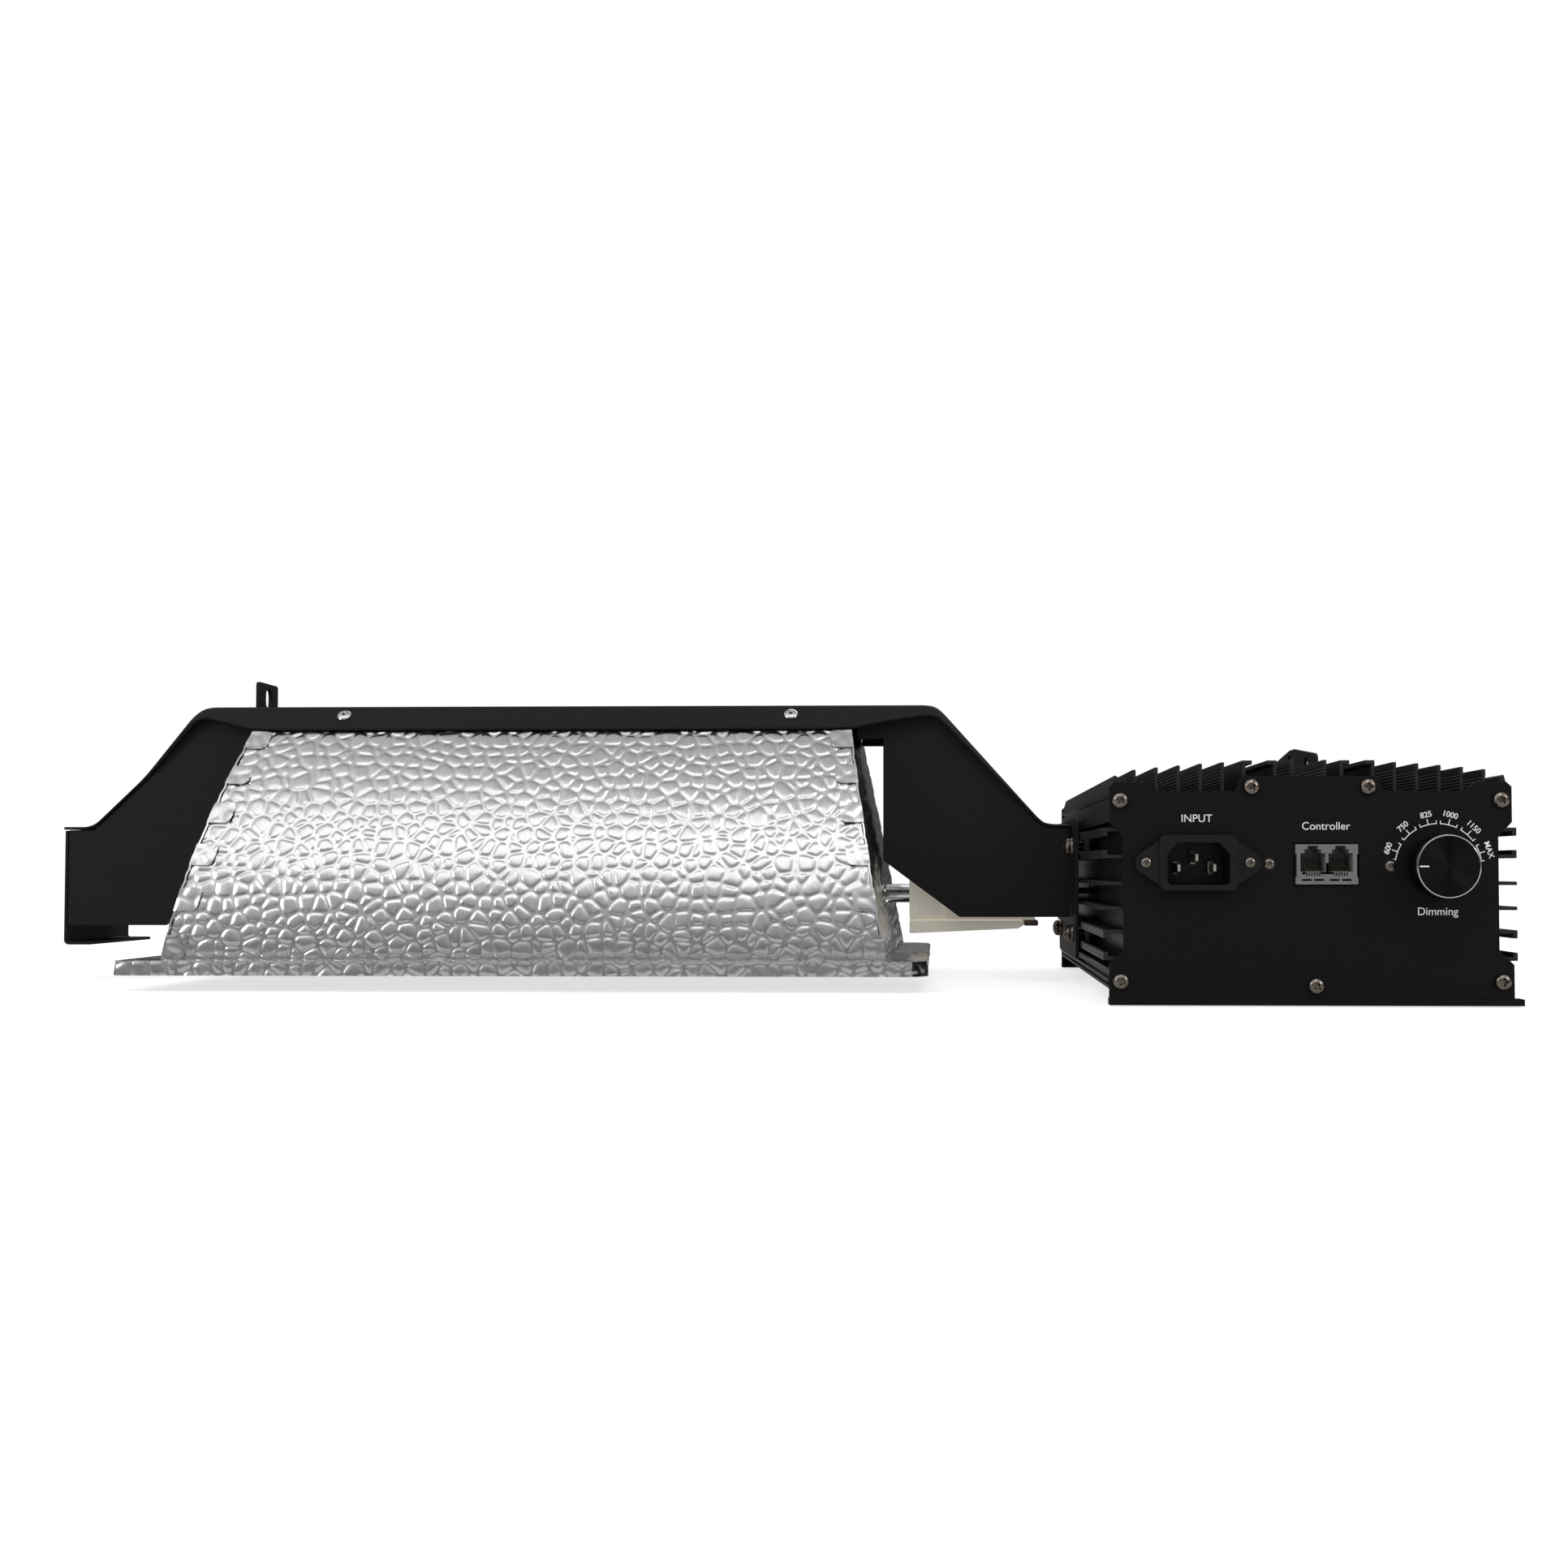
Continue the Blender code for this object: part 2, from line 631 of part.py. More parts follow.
def lamp(glass, ceramic, metal):
    """Tubular outer bulb with drawn necks, the arc tube inside it, and a contact at each end."""
    middle = (LAMP_X, LAMP_Y, LAMP_Z)
    outer = [(4.5, 188.0), (4.5, 141.0), (6.0, 135.0), (10.5, 129.0), (14.6, 123.0), (16.0, 114.0)]
    inner = [(1.2, -188.0), (1.2, -138.0), (9.0, -126.0), (13.4, -120.0), (14.8, -112.0)]
    profile = outer + [(r, -h) for r, h in reversed(outer)] + inner + [(r, -h) for r, h in reversed(inner)]
    turned("lamp_bulb", profile, middle, (1, 0, 0), glass, 24, ring=True)
    tube = [(0.0, 92.0), (2.2, 92.0), (2.2, 80.0), (5.6, 76.0), (5.6, -76.0), (2.2, -80.0), (2.2, -92.0),
            (0.0, -92.0)]
    turned("arc_tube", tube, middle, (1, 0, 0), ceramic, 16)
    pin = [(0.0, 195.0), (2.8, 195.0), (3.4, 194.2), (3.4, 188.4), (0.8, 188.4), (0.8, 92.4), (0.0, 92.4)]
    turned("lamp_contact_right", pin, middle, (1, 0, 0), metal, 12)
    turned("lamp_contact_left", pin, middle, (-1, 0, 0), metal, 12)


def along_x(side, near, far):
    """Low and high x of a span measured out from the middle of the lamp."""
    ends = (LAMP_X + side * near, LAMP_X + side * far)
    return min(ends), max(ends)


def holder_body(name, side, material):
    """Ceramic block with a bore for the lamp's neck and a raised rim at the lamp's end."""
    x0, x1 = along_x(side, HOLDER_NEAR, HOLDER_FAR)
    seam = HOLDER_SEAM[side]
    body = box(name, (x0, LAMP_Y - HOLDER_HALF, seam), (x1, LAMP_Y + HOLDER_HALF, HOLDER_TOP), material)
    r0, r1 = along_x(side, HOLDER_NEAR + 5.0, HOLDER_NEAR + 17.0)
    depth = 1.6
    past = 1.0
    for sign, row in ((-1, "front"), (1, "back")):
        face = LAMP_Y + sign * HOLDER_HALF
        y0, y1 = sorted((face + sign * past, face - sign * depth))
        recess = box(f"{name}_recess_{row}", (r0, y0, seam - past), (r1, y1, HOLDER_TOP - 4.0),
                     material, CUTTERS)
        boolean(body, recess)
    bore = turned(f"{name}_bore", [(0.0, 34.0), (6.4, 34.0), (6.4, -1.0), (0.0, -1.0)],
                  (LAMP_X + side * HOLDER_NEAR, LAMP_Y, LAMP_Z), (side, 0, 0), material, 16,
                  collection=CUTTERS)
    boolean(body, bore)
    return body


def holder_cover(name, side, material):
    """Lower ceramic block under the seam; thinner towards its outer end, which is chamfered."""
    top = HOLDER_SEAM[side] - GAP
    end = HOLDER_FAR - 5.2
    if side > 0:
        under = [(HOLDER_NEAR, 22.3), (end - 2.8, 24.6), (end, 26.2)]
    else:
        under = [(HOLDER_NEAR, 29.2), (end, 29.2)]
    profile = under + [(end, top), (HOLDER_NEAR, top)]
    outline = [(LAMP_X + side * x, z) for x, z in profile]
    return plate(name, [outline], "XZ", LAMP_Y - HOLDER_HALF, 2 * HOLDER_HALF, material)


def holder_fittings(side, row, metal, brown):
    """Spring contact behind the lamp's end, and the terminal at the outer end."""
    x0, x1 = along_x(side, 196.0, 197.2)
    box(f"lamp_spring_{row}", (x0, LAMP_Y - 4.0, LAMP_Z - 4.0), (x1, LAMP_Y + 4.0, LAMP_Z + 4.0), metal,
        bevel=0.3)
    t0, t1 = along_x(side, HOLDER_FAR - 5.2 + GAP, HOLDER_FAR + 1.8)
    top = HOLDER_SEAM[side] - GAP
    box(f"terminal_{row}", (t0, LAMP_Y - 15.0, top - 2.65 if side > 0 else 29.2), (t1, LAMP_Y + 15.0, top), brown,
        bevel=0.4)


def leads(material):
    """The two leads from the lampholders into the housing, held by the frame all the way."""
    holder_z = 50.0
    y_left = LAMP_Y - 1.9
    y_right = LAMP_Y + 1.9
    far = HOLDER_FAR + 0.6
    left = [(LAMP_X - far, holder_z), (LAMP_X - far - 3.2, 51.0), (LAMP_X - far - 4.6, 58.0),
            (LAMP_X - far - 2.0, 65.0), (-303.0, 69.4), (-290.0, 80.0), (-274.0, 99.0), (-258.0, 118.5),
            (-247.0, 125.2), (-235.0, 126.0), (-150.0, 126.0), (-60.0, 126.0), (30.0, 126.0), (72.0, 126.0),
            (88.0, 124.0), (99.0, 115.0), (114.0, 99.0), (129.0, 83.0), (141.5, 68.0), (148.0, 56.0),
            (152.5, 47.0), (158.0, LEAD_Z + 0.4), (166.0, LEAD_Z), (182.0, LEAD_Z)]
    right = [(LAMP_X + far, holder_z), (145.5, 49.4), (150.0, 46.6), (156.0, LEAD_Z + 0.5), (163.0, LEAD_Z),
             (182.0, LEAD_Z)]
    wire("lamp_lead_left", [(x, y_left, z) for x, z in left], 3.0, material, 72)
    wire("lamp_lead_right", [(x, y_right, z) for x, z in right], 3.0, material, 18)


# ---------------------------------------------------------------- ballast

def fin_tip(x):
    return FIN_CROWN_Z - FIN_ARCH * x * x


def top_fin(x):
    half = FIN / 2
    tip = fin_tip(x)
    return [(x - half, FIN_ROOT_Z), (x - half, tip), (x + half, tip), (x + half, FIN_ROOT_Z)]


def top_slot():
    """A T-slot for the hanger's bolts, with a screw boss beside its floor."""
    tip = FIN_CROWN_Z - 0.2
    lip = 1.6
    boss = 88.4
    return [(12.2, FIN_ROOT_Z), (12.2, tip), (15.95, tip), (15.95, tip - lip), (13.6, tip - lip),
            (13.6, FIN_ROOT_Z), (19.2, FIN_ROOT_Z), (19.2, boss), (24.3, boss), (24.3, tip - lip),
            (21.8, tip - lip), (21.8, tip), (25.7, tip), (25.7, FIN_ROOT_Z)]


def side_slot(z):
    """A T-slot in the side of the housing, from top to bottom."""
    lip_x = SIDE_FIN_OUT - SLOT_LIP
    upper = [(WALL_OUT, SLOT_HALF), (SIDE_FIN_OUT, SLOT_HALF), (SIDE_FIN_OUT, SLOT_MOUTH),
             (lip_x, SLOT_MOUTH), (lip_x, SLOT_HALF - FIN), (WALL_OUT, SLOT_HALF - FIN)]
    lower = [(x, -h) for x, h in reversed(upper)]
    return [(x, z + h) for x, h in upper + lower]


def side_fin(z):
    half = FIN / 2
    return [(WALL_OUT, z + half), (SIDE_FIN_OUT, z + half), (SIDE_FIN_OUT, z - half), (WALL_OUT, z - half)]


def housing_outline():
    """Section of the extruded housing: fins on top and at the sides, open underneath."""
    half = top_fin(CENTRE_FIN) + top_slot()
    for i in range(FIN_COUNT):
        half += top_fin(FIN_FIRST + FIN_PITCH * i)
    half += [(69.6, FIN_ROOT_Z), (70.6, 82.4), (73.4, 83.0), (74.0, 88.9), (75.3, 89.6), (77.3, 82.8),
             (77.3, 81.4), (76.4, 80.9), (76.4, 80.3), (77.6, 79.8), (77.6, 73.0), (76.4, 71.6),
             (WALL_OUT, 71.6)]
    half += side_slot(SLOT_UPPER_Z)
    for z in SIDE_FINS_Z:
        half += side_fin(z)
    half += side_slot(SLOT_LOWER_Z)
    half += [(WALL_OUT, 13.6), (77.0, 13.6), (77.0, 10.6), (78.3, 10.2), (78.3, 8.6), (76.6, 8.3),
             (76.6, 7.7), (77.9, 7.4), (77.9, 6.1), (WALL_IN, 6.1), (WALL_IN, 77.0)]
    return mirrored(half, BOX_X)


def plate_screws():
    """Where the end plates are screwed on, as (x, z)."""
    places = {
        "top_left": (-CORNER_SCREW_X, UPPER_SCREW_Z),
        "crown_left": (-CROWN_SCREW_X, CROWN_SCREW_Z),
        "crown_right": (CROWN_SCREW_X, CROWN_SCREW_Z),
        "top_right": (CORNER_SCREW_X, UPPER_SCREW_Z),
        "bottom_left": (-CORNER_SCREW_X, LOWER_SCREW_Z),
        "bottom_middle": BASE_SCREW,
        "bottom_right": (CORNER_SCREW_X, LOWER_SCREW_Z),
    }
    return {name: (BOX_X + x, z) for name, (x, z) in places.items()}


def housing(material):
    length = HOUSING_BACK - HOUSING_FRONT
    bores = [circle(x, z, BORE, 8) for name, (x, z) in plate_screws().items() if name != "bottom_middle"]
    section = [housing_outline()] + bores
    body = as_mesh(plate("ballast_housing", section, "XZ", HOUSING_FRONT, length, material))
    hole = turned("lead_hole", [(0.0, 8.0), (4.0, 8.0), (4.0, -8.0), (0.0, -8.0)],
                  (BOX_X - WALL_OUT, LAMP_Y, LEAD_Z), (1, 0, 0), material, 16, collection=CUTTERS)
    boolean(body, hole)
    return body


def base_plate(material):
    """Closes the housing underneath; its ribs carry the board, and its hump takes the middle screw."""
    low = 4.6
    floor = 6.8
    hump = 11.2
    rib = 13.6
    edge = WALL_IN - 0.5
    x, z = BASE_SCREW
    outline = [(-edge, low), (edge, low), (edge, floor), (36.0, floor), (36.0, rib), (34.0, rib),
               (34.0, floor), (x + 5.0, floor), (x + 5.0, hump), (x - 5.0, hump), (x - 5.0, floor),
               (-34.0, floor), (-34.0, rib), (-36.0, rib), (-36.0, floor), (-edge, floor)]
    outline = [(BOX_X + u, v) for u, v in outline]
    return plate("base_plate", [outline, circle(BOX_X + x, z, BORE, 8)], "XZ", HOUSING_FRONT,
                 HOUSING_BACK - HOUSING_FRONT, material)


def end_plate_outline():
    half = [(25.9, 89.0), (28.6, 83.1), (60.2, 83.1), (63.3, 86.6), (75.6, 86.6), (77.6, 84.8),
            (77.6, 71.0), (72.3, 65.4), (72.3, 21.5), (77.9, 15.8), (77.9, 0.0)]
    return mirrored(half, BOX_X)


def end_plate(name, start, foot_y, cutouts, material):
    """An end plate of the housing with the foot that the ballast stands on."""
    holes = [circle(x, z, 1.8, 8) for x, z in plate_screws().values()]
    body = as_mesh(plate(name, [end_plate_outline()] + holes + cutouts, "XZ", start, PLATE, material))
    foot = box(name + "_foot", (BOX_X - 77.9, foot_y[0], 0.0), (FOOT_RIGHT_X, foot_y[1], 2.6), material,
               CUTTERS)
    boolean(body, foot, "UNION")
    return body


def front_cutouts():
    return [
        rounded(INLET_X - 14.2, INLET_Z - 10.4, INLET_X + 14.2, INLET_Z + 10.4, 1.0, 2),
        rectangle(PORT_X - PORT_W / 2 - GAP, PORT_Z - PORT_H / 2 - GAP,
                  PORT_X + PORT_W / 2 + GAP, PORT_Z + PORT_H / 2 + GAP),
        circle(KNOB_X, KNOB_Z, 4.9, 16),
        circle(INLET_X - 20.0, INLET_Z, 1.5, 8),
        circle(INLET_X + 20.0, INLET_Z, 1.5, 8),
    ]


def plate_screw_nodes(material):
    profile = [(0.0, 2.2), (1.7, 2.1), (2.8, 1.3), (3.3, 0.3), (3.3, 0.0), (1.25, 0.0), (1.25, -9.0),
               (0.0, -9.0)]
    for name, (x, z) in plate_screws().items():
        turned("plate_screw_" + name, profile, (x, FRONT_Y - GAP, z), (0, -1, 0), material, 12)


def inlet(plastic, metal):
    """Appliance inlet: eared flange, raised mouth, body behind the plate, and three blades."""
    x = INLET_X
    z = INLET_Z
    ear = 24.4
    ears = [(x - 15.0, z + 8.6), (x - 13.2, z + 10.7), (x + 13.2, z + 10.7), (x + 15.0, z + 8.6)]
    ears += arc(x + 20.0, z, ear - 20.0, 52, -52, 4)
    ears += [(x + 15.0, z - 8.6), (x + 13.2, z - 10.7), (x - 13.2, z - 10.7), (x - 15.0, z - 8.6)]
    ears += arc(x - 20.0, z, ear - 20.0, 232, 128, 4)
    holes = [circle(x - 20.0, z, 1.6, 8), circle(x + 20.0, z, 1.6, 8)]
    body = as_mesh(plate("inlet_body", [ears] + holes, "XZ", FRONT_Y - GAP - 2.4, 2.4, plastic))
    raised = plate("inlet_mouth", [rounded(x - 15.0, z - 10.7, x + 15.0, z + 10.7, 2.2, 2)], "XZ",
                   FRONT_Y - GAP - 4.2, 3.0, plastic, CUTTERS)
    boolean(body, as_mesh(raised), "UNION")
    back = box("inlet_back", (x - 13.8, FRONT_Y - 2.0, z - 10.0), (x + 13.8, -106.0, z + 10.0), plastic,
               CUTTERS)
    boolean(body, back, "UNION")
    half = 12.1
    low = z - 8.6
    high = z + 7.8
    cavity_line = mirrored([(half - 3.9, high), (half, high - 4.4), (half, low + 1.2), (half - 1.2, low)], x)
    cavity = plate("inlet_cavity", [cavity_line], "XZ", FRONT_Y - 8.0, 8.0 + 14.0, plastic, CUTTERS)
    boolean(body, as_mesh(cavity))
    floor_y = FRONT_Y + 14.0 - GAP
    for name, dx, dz in (("earth", -0.3, 2.0), ("left", -7.2, -2.0), ("right", 6.6, -2.0)):
        box("inlet_blade_" + name, (x + dx - 1.0, FRONT_Y - 1.5, z + dz - 2.6),
            (x + dx + 1.0, floor_y, z + dz + 2.6), metal, bevel=0.25)
    profile = [(0.0, 0.9), (1.5, 0.8), (2.2, 0.3), (2.2, 0.0), (1.1, 0.0), (1.1, -8.0), (0.0, -8.0)]
    for name, dx in (("left", -20.0), ("right", 20.0)):
        turned("inlet_screw_" + name, profile, (x + dx, FRONT_Y - 2.4 - 2 * GAP, z), (0, -1, 0), metal, 12)


def port_block(material):
    """Twin modular sockets for the controller's cable."""
    x0 = PORT_X - PORT_W / 2
    z0 = PORT_Z - PORT_H / 2
    front = FRONT_Y - 1.2
    block = box("port_block", (x0, front, z0), (x0 + PORT_W, -112.0, z0 + PORT_H), material)
    for index in range(2):
        middle = PORT_X + (index - 0.5) * 10.6
        well = box(f"port_well_{index}", (middle - 4.8, front - 1, z0 + 3.6),
                   (middle + 4.8, -115.0, z0 + 11.6), material, CUTTERS)
        latch = box(f"port_latch_{index}", (middle - 3.1, front - 1, z0 + 11.0),
                    (middle + 3.1, -115.0, z0 + 14.0), material, CUTTERS)
        boolean(block, well)
        boolean(block, latch)
    return block


def dimmer(knob_material, steel, plastic):
    """Knob pressed on a shaft that turns in the switch's bush."""
    bore = SHAFT_R + GAP
    depth = -KNOB_FRONT_Y + FRONT_Y - 0.8
    knob_line = [(0.0, depth), (KNOB_R - 1.0, depth), (KNOB_R, depth - 0.9), (KNOB_R, 0.5),
                 (KNOB_R - 0.5, 0.0), (6.4, 0.0), (6.4, 4.0), (bore, 4.0), (bore, 11.0), (0.0, 11.0)]
    turned("dimmer_knob", knob_line, (KNOB_X, FRONT_Y - 0.8, KNOB_Z), (0, -1, 0), knob_material, 48)
    shaft_front = -FRONT_Y + 0.8 + 11.0 - GAP
    shaft_line = [(0.0, shaft_front), (SHAFT_R, shaft_front), (SHAFT_R, 122.0), (0.0, 122.0)]
    turned("dimmer_shaft", shaft_line, (KNOB_X, 0.0, KNOB_Z), (0, -1, 0), steel, 16)
    switch = box("dimmer_switch", (KNOB_X - 10.0, FRONT_Y + PLATE + GAP, KNOB_Z - 10.0),
                 (KNOB_X + 10.0, -112.0, KNOB_Z + 10.0), plastic)
    bush = turned("dimmer_bush", [(0.0, 3.2), (4.5, 3.2), (4.5, -4.0), (0.0, -4.0)],
                  (KNOB_X, FRONT_Y, KNOB_Z), (0, -1, 0), plastic, 16, collection=CUTTERS)
    boolean(switch, bush, "UNION")
    hole = turned("dimmer_bore", [(0.0, 8.0), (SHAFT_R + GAP, 8.0), (SHAFT_R + GAP, -7.0), (0.0, -7.0)],
                  (KNOB_X, FRONT_Y, KNOB_Z), (0, -1, 0), plastic, 16, collection=CUTTERS)
    boolean(switch, hole)


def electronics(board_green, core_grey, can_blue):
    """Board on the ribs of the base, with the ignition transformer and a capacitor on it."""
    z = 13.6 + GAP
    thick = 1.6
    box("power_board", (BOX_X - 45.0, -118.0, z), (BOX_X + 45.0, 120.0, z + thick), board_green)
    top = z + thick + GAP
    box("choke_coil", (BOX_X - 26.0, -10.0, top), (BOX_X + 16.0, 44.0, top + 38.0), core_grey, bevel=3.0)
    turned("capacitor", [(0.0, 40.0), (10.0, 40.0), (11.0, 39.0), (11.0, 0.0), (0.0, 0.0)],
           (BOX_X + 22.0, -60.0, top), (0, 0, 1), can_blue, 16)


def main():
    clear_scene()
    black = finish("black_powder_coat", (0.014, 0.014, 0.015), 0.55, 0.0)
    anodised = finish("black_anodised", (0.012, 0.012, 0.013), 0.42, 0.4)
    knob_black = finish("black_knob", (0.01, 0.01, 0.011), 0.3, 0.6)
    core = finish("core_grey", (0.22, 0.22, 0.23), 0.6, 0.0)
    bright = finish("hammered_aluminium", (0.86, 0.87, 0.88), 0.16, 1.0)
    steel = finish("plated_steel", (0.72, 0.69, 0.64), 0.25, 1.0)
    ceramic = finish("cream_ceramic", (0.78, 0.74, 0.66), 0.45, 0.0)
    glass = finish("quartz_glass", (0.95, 0.97, 0.98), 0.03, 0.0, transmission=1.0)
    alumina = finish("white_alumina", (0.88, 0.87, 0.84), 0.35, 0.0)
    brown = finish("brown_phenolic", (0.16, 0.10, 0.08), 0.5, 0.0)
    grey = finish("grey_plastic", (0.42, 0.43, 0.44), 0.45, 0.0)
    plastic = finish("black_plastic", (0.014, 0.014, 0.015), 0.4, 0.0)
    green = finish("board_green", (0.03, 0.16, 0.07), 0.5, 0.0)
    blue = finish("can_sleeve", (0.04, 0.07, 0.2), 0.35, 0.0)
    rubber = finish("lead_silicone", (0.7, 0.68, 0.64), 0.6, 0.0)

    top_rail(black)
    end_bracket("left_bracket", -1, black)
    end_bracket("right_bracket", 1, black)
    left_end_plate(black)
    mount_plate(black)
    mount_screws(steel)
    hanger_tab(black)
    ballast_hanger(black)
    hanger_bolts(steel)
    side_sheet("reflector_front", -1, bright)
    side_sheet("reflector_back", 1, bright)
    end_sheet("reflector_end_left", -1, bright)
    end_sheet("reflector_end_right", 1, bright)
    rivets(steel)
    lamp(glass, alumina, steel)
    for side, row in ((-1, "left"), (1, "right")):
        holder_body("lampholder_" + row, side, ceramic)
        holder_cover("lampholder_cover_" + row, side, ceramic)
        holder_fittings(side, row, steel, brown)
    leads(rubber)
    housing(anodised)
    base_plate(anodised)
    end_plate("front_plate", FRONT_Y, (FRONT_Y - 1.0, FRONT_Y + 6.0), front_cutouts(), black)
    end_plate("rear_plate", REAR_Y, (REAR_Y - 4.0, REAR_Y + PLATE + 1.0), [], black)
    plate_screw_nodes(steel)
    inlet(plastic, steel)
    port_block(grey)
    dimmer(knob_black, steel, plastic)
    electronics(green, core, blue)


main()
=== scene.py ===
import json
import math

import bmesh
import bpy
import numpy as np
from mathutils import Matrix, Vector


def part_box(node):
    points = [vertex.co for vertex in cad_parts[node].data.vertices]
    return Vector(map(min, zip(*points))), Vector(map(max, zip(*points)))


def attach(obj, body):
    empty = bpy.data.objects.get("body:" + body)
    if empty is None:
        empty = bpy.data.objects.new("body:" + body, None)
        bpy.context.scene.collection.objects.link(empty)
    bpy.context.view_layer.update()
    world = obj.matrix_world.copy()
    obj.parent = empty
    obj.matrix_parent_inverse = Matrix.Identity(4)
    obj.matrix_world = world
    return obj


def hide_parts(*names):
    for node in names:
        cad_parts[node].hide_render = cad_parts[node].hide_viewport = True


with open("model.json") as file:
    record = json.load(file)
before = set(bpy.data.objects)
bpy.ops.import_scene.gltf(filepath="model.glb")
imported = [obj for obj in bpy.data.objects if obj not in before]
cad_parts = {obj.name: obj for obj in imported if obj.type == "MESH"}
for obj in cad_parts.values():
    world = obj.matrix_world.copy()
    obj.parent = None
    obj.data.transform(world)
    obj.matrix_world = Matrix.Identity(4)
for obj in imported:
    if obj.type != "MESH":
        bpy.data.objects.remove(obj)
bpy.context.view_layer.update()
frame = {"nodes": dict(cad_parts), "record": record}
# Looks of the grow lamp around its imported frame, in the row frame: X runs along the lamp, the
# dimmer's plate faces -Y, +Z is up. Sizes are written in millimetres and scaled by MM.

NODES = frame["nodes"]
SLOTS = {part["node"]: part["material_slot"] for part in frame["record"]["subparts"]}
DIMMER_NODES = frame["record"]["behaviour"]["bodies"]["dimmer"]
MM = 0.001


def span(node, axis):
    """Lowest and highest coordinate of a CAD node along one axis, in millimetres."""
    low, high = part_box(node)
    return low[axis] / MM, high[axis] / MM


def middle(node, axis):
    return sum(span(node, axis)) / 2


# Places read from the frame
LAMP_X = middle("lamp_bulb", 0)
LAMP_Y = middle("lamp_bulb", 1)
LAMP_Z = middle("lamp_bulb", 2)
BOX_X = middle("ballast_housing", 0)
HOUSING_Y = span("ballast_housing", 1)
PLATE_GAP = 0.35  # between the housing and its end plates
PLATE = 2.0  # thickness of an end plate
PLATE_Y = HOUSING_Y[0] - PLATE_GAP - PLATE
REAR_Y = HOUSING_Y[1] + PLATE_GAP + PLATE
KNOB_X = middle("dimmer_knob", 0)
KNOB_Z = middle("dimmer_knob", 2)
INLET_X = middle("inlet_body", 0)
PORT_X = middle("port_block", 0)
PORT_Z = middle("port_block", 2)


# ---------------- materials

class Graph:
    """The shader nodes of a material or a world."""

    def __init__(self, owner):
        owner.use_nodes = True
        self.tree = owner.node_tree

    def node(self, kind, values=None, **settings):
        """A new node with its settings, and with plain values on some of its inputs."""
        made = self.tree.nodes.new("ShaderNode" + kind)
        for key, value in settings.items():
            setattr(made, key, value)
        for socket, value in (values or {}).items():
            made.inputs[socket].default_value = value
        return made

    def link(self, source, target):
        self.tree.links.new(source, target)


class Paint(Graph):
    """A procedural material: a Principled shader with a few pattern nodes in front of it."""

    def __init__(self, name, colour, roughness, metallic=0.0, **plain):
        self.material = bpy.data.materials.new(name)
        super().__init__(self.material)
        self.shader = self.tree.nodes["Principled BSDF"]
        plain.update(Base_Color=(*colour, 1.0), Roughness=roughness, Metallic=metallic)
        for socket, value in plain.items():
            self.shader.inputs[socket.replace("_", " ")].default_value = value
        self.place = self.node("TexCoord").outputs["Object"]

    def noise(self, size, detail=3.0, stretch=(1.0, 1.0, 1.0), roughness=0.5):
        """Noise whose features are about size millimetres, longer where stretch is larger."""
        mapping = self.node("Mapping", {"Scale": [1.0 / (size * MM * s) for s in stretch]})
        self.link(self.place, mapping.inputs["Vector"])
        made = self.node("TexNoise", {"Scale": 1.0, "Detail": detail, "Roughness": roughness})
        self.link(mapping.outputs["Vector"], made.inputs["Vector"])
        return made.outputs["Fac"]

    def spread(self, source, low, high, start=0.3, end=0.7):
        """A number that goes from low to high as source goes from start to end."""
        made = self.node("MapRange", {"From Min": start, "From Max": end, "To Min": low, "To Max": high})
        self.link(source, made.inputs["Value"])
        return made.outputs["Result"]

    def mix(self, factor, first, second):
        """A colour between two, each a colour or a socket."""
        made = self.node("Mix", data_type="RGBA")
        self.link(factor, made.inputs["Factor"])
        for index, colour in ((6, first), (7, second)):
            if isinstance(colour, tuple):
                made.inputs[index].default_value = (*colour, 1.0)
            else:
                self.link(colour, made.inputs[index])
        return made.outputs[2]

    def colour(self, factor, first, second):
        self.link(self.mix(factor, first, second), self.shader.inputs["Base Color"])

    def rough(self, source, low, high):
        self.link(self.spread(source, low, high), self.shader.inputs["Roughness"])

    def bump(self, source, depth, strength=1.0):
        """Relief of the given depth in millimetres."""
        made = self.node("Bump", {"Strength": strength, "Distance": depth * MM})
        self.link(source, made.inputs["Height"])
        self.link(made.outputs["Normal"], self.shader.inputs["Normal"])


def powder_coat(name, speck, shine):
    """Fine-textured black powder coat: grain, a few lighter specks and soft rubbed patches."""
    paint = Paint(name, (0.013, 0.013, 0.014), 0.55, Specular_IOR_Level=shine)
    grain = paint.noise(0.32, 2.0)
    specks = paint.spread(paint.noise(0.22, 1.0), 0.0, 1.0, 0.62, 0.78)
    paint.colour(specks, (0.006, 0.006, 0.0063), (speck, speck, speck * 1.04))
    paint.rough(paint.noise(9.0, 4.0), 0.5, 0.57)
    paint.bump(grain, 0.09, 0.55)
    return paint.material


def anodised():
    """Black anodised extrusion with fine die lines along Y."""
    paint = Paint("black_anodised", (0.012, 0.012, 0.013), 0.4, Specular_IOR_Level=0.55)
    lines = paint.noise(0.18, 3.0, (1.0, 900.0, 1.0))
    dust = paint.noise(6.0, 5.0)
    paint.colour(dust, (0.009, 0.009, 0.0095), (0.018, 0.018, 0.019))
    paint.rough(lines, 0.3, 0.5)
    paint.bump(lines, 0.03, 0.5)
    return paint.material


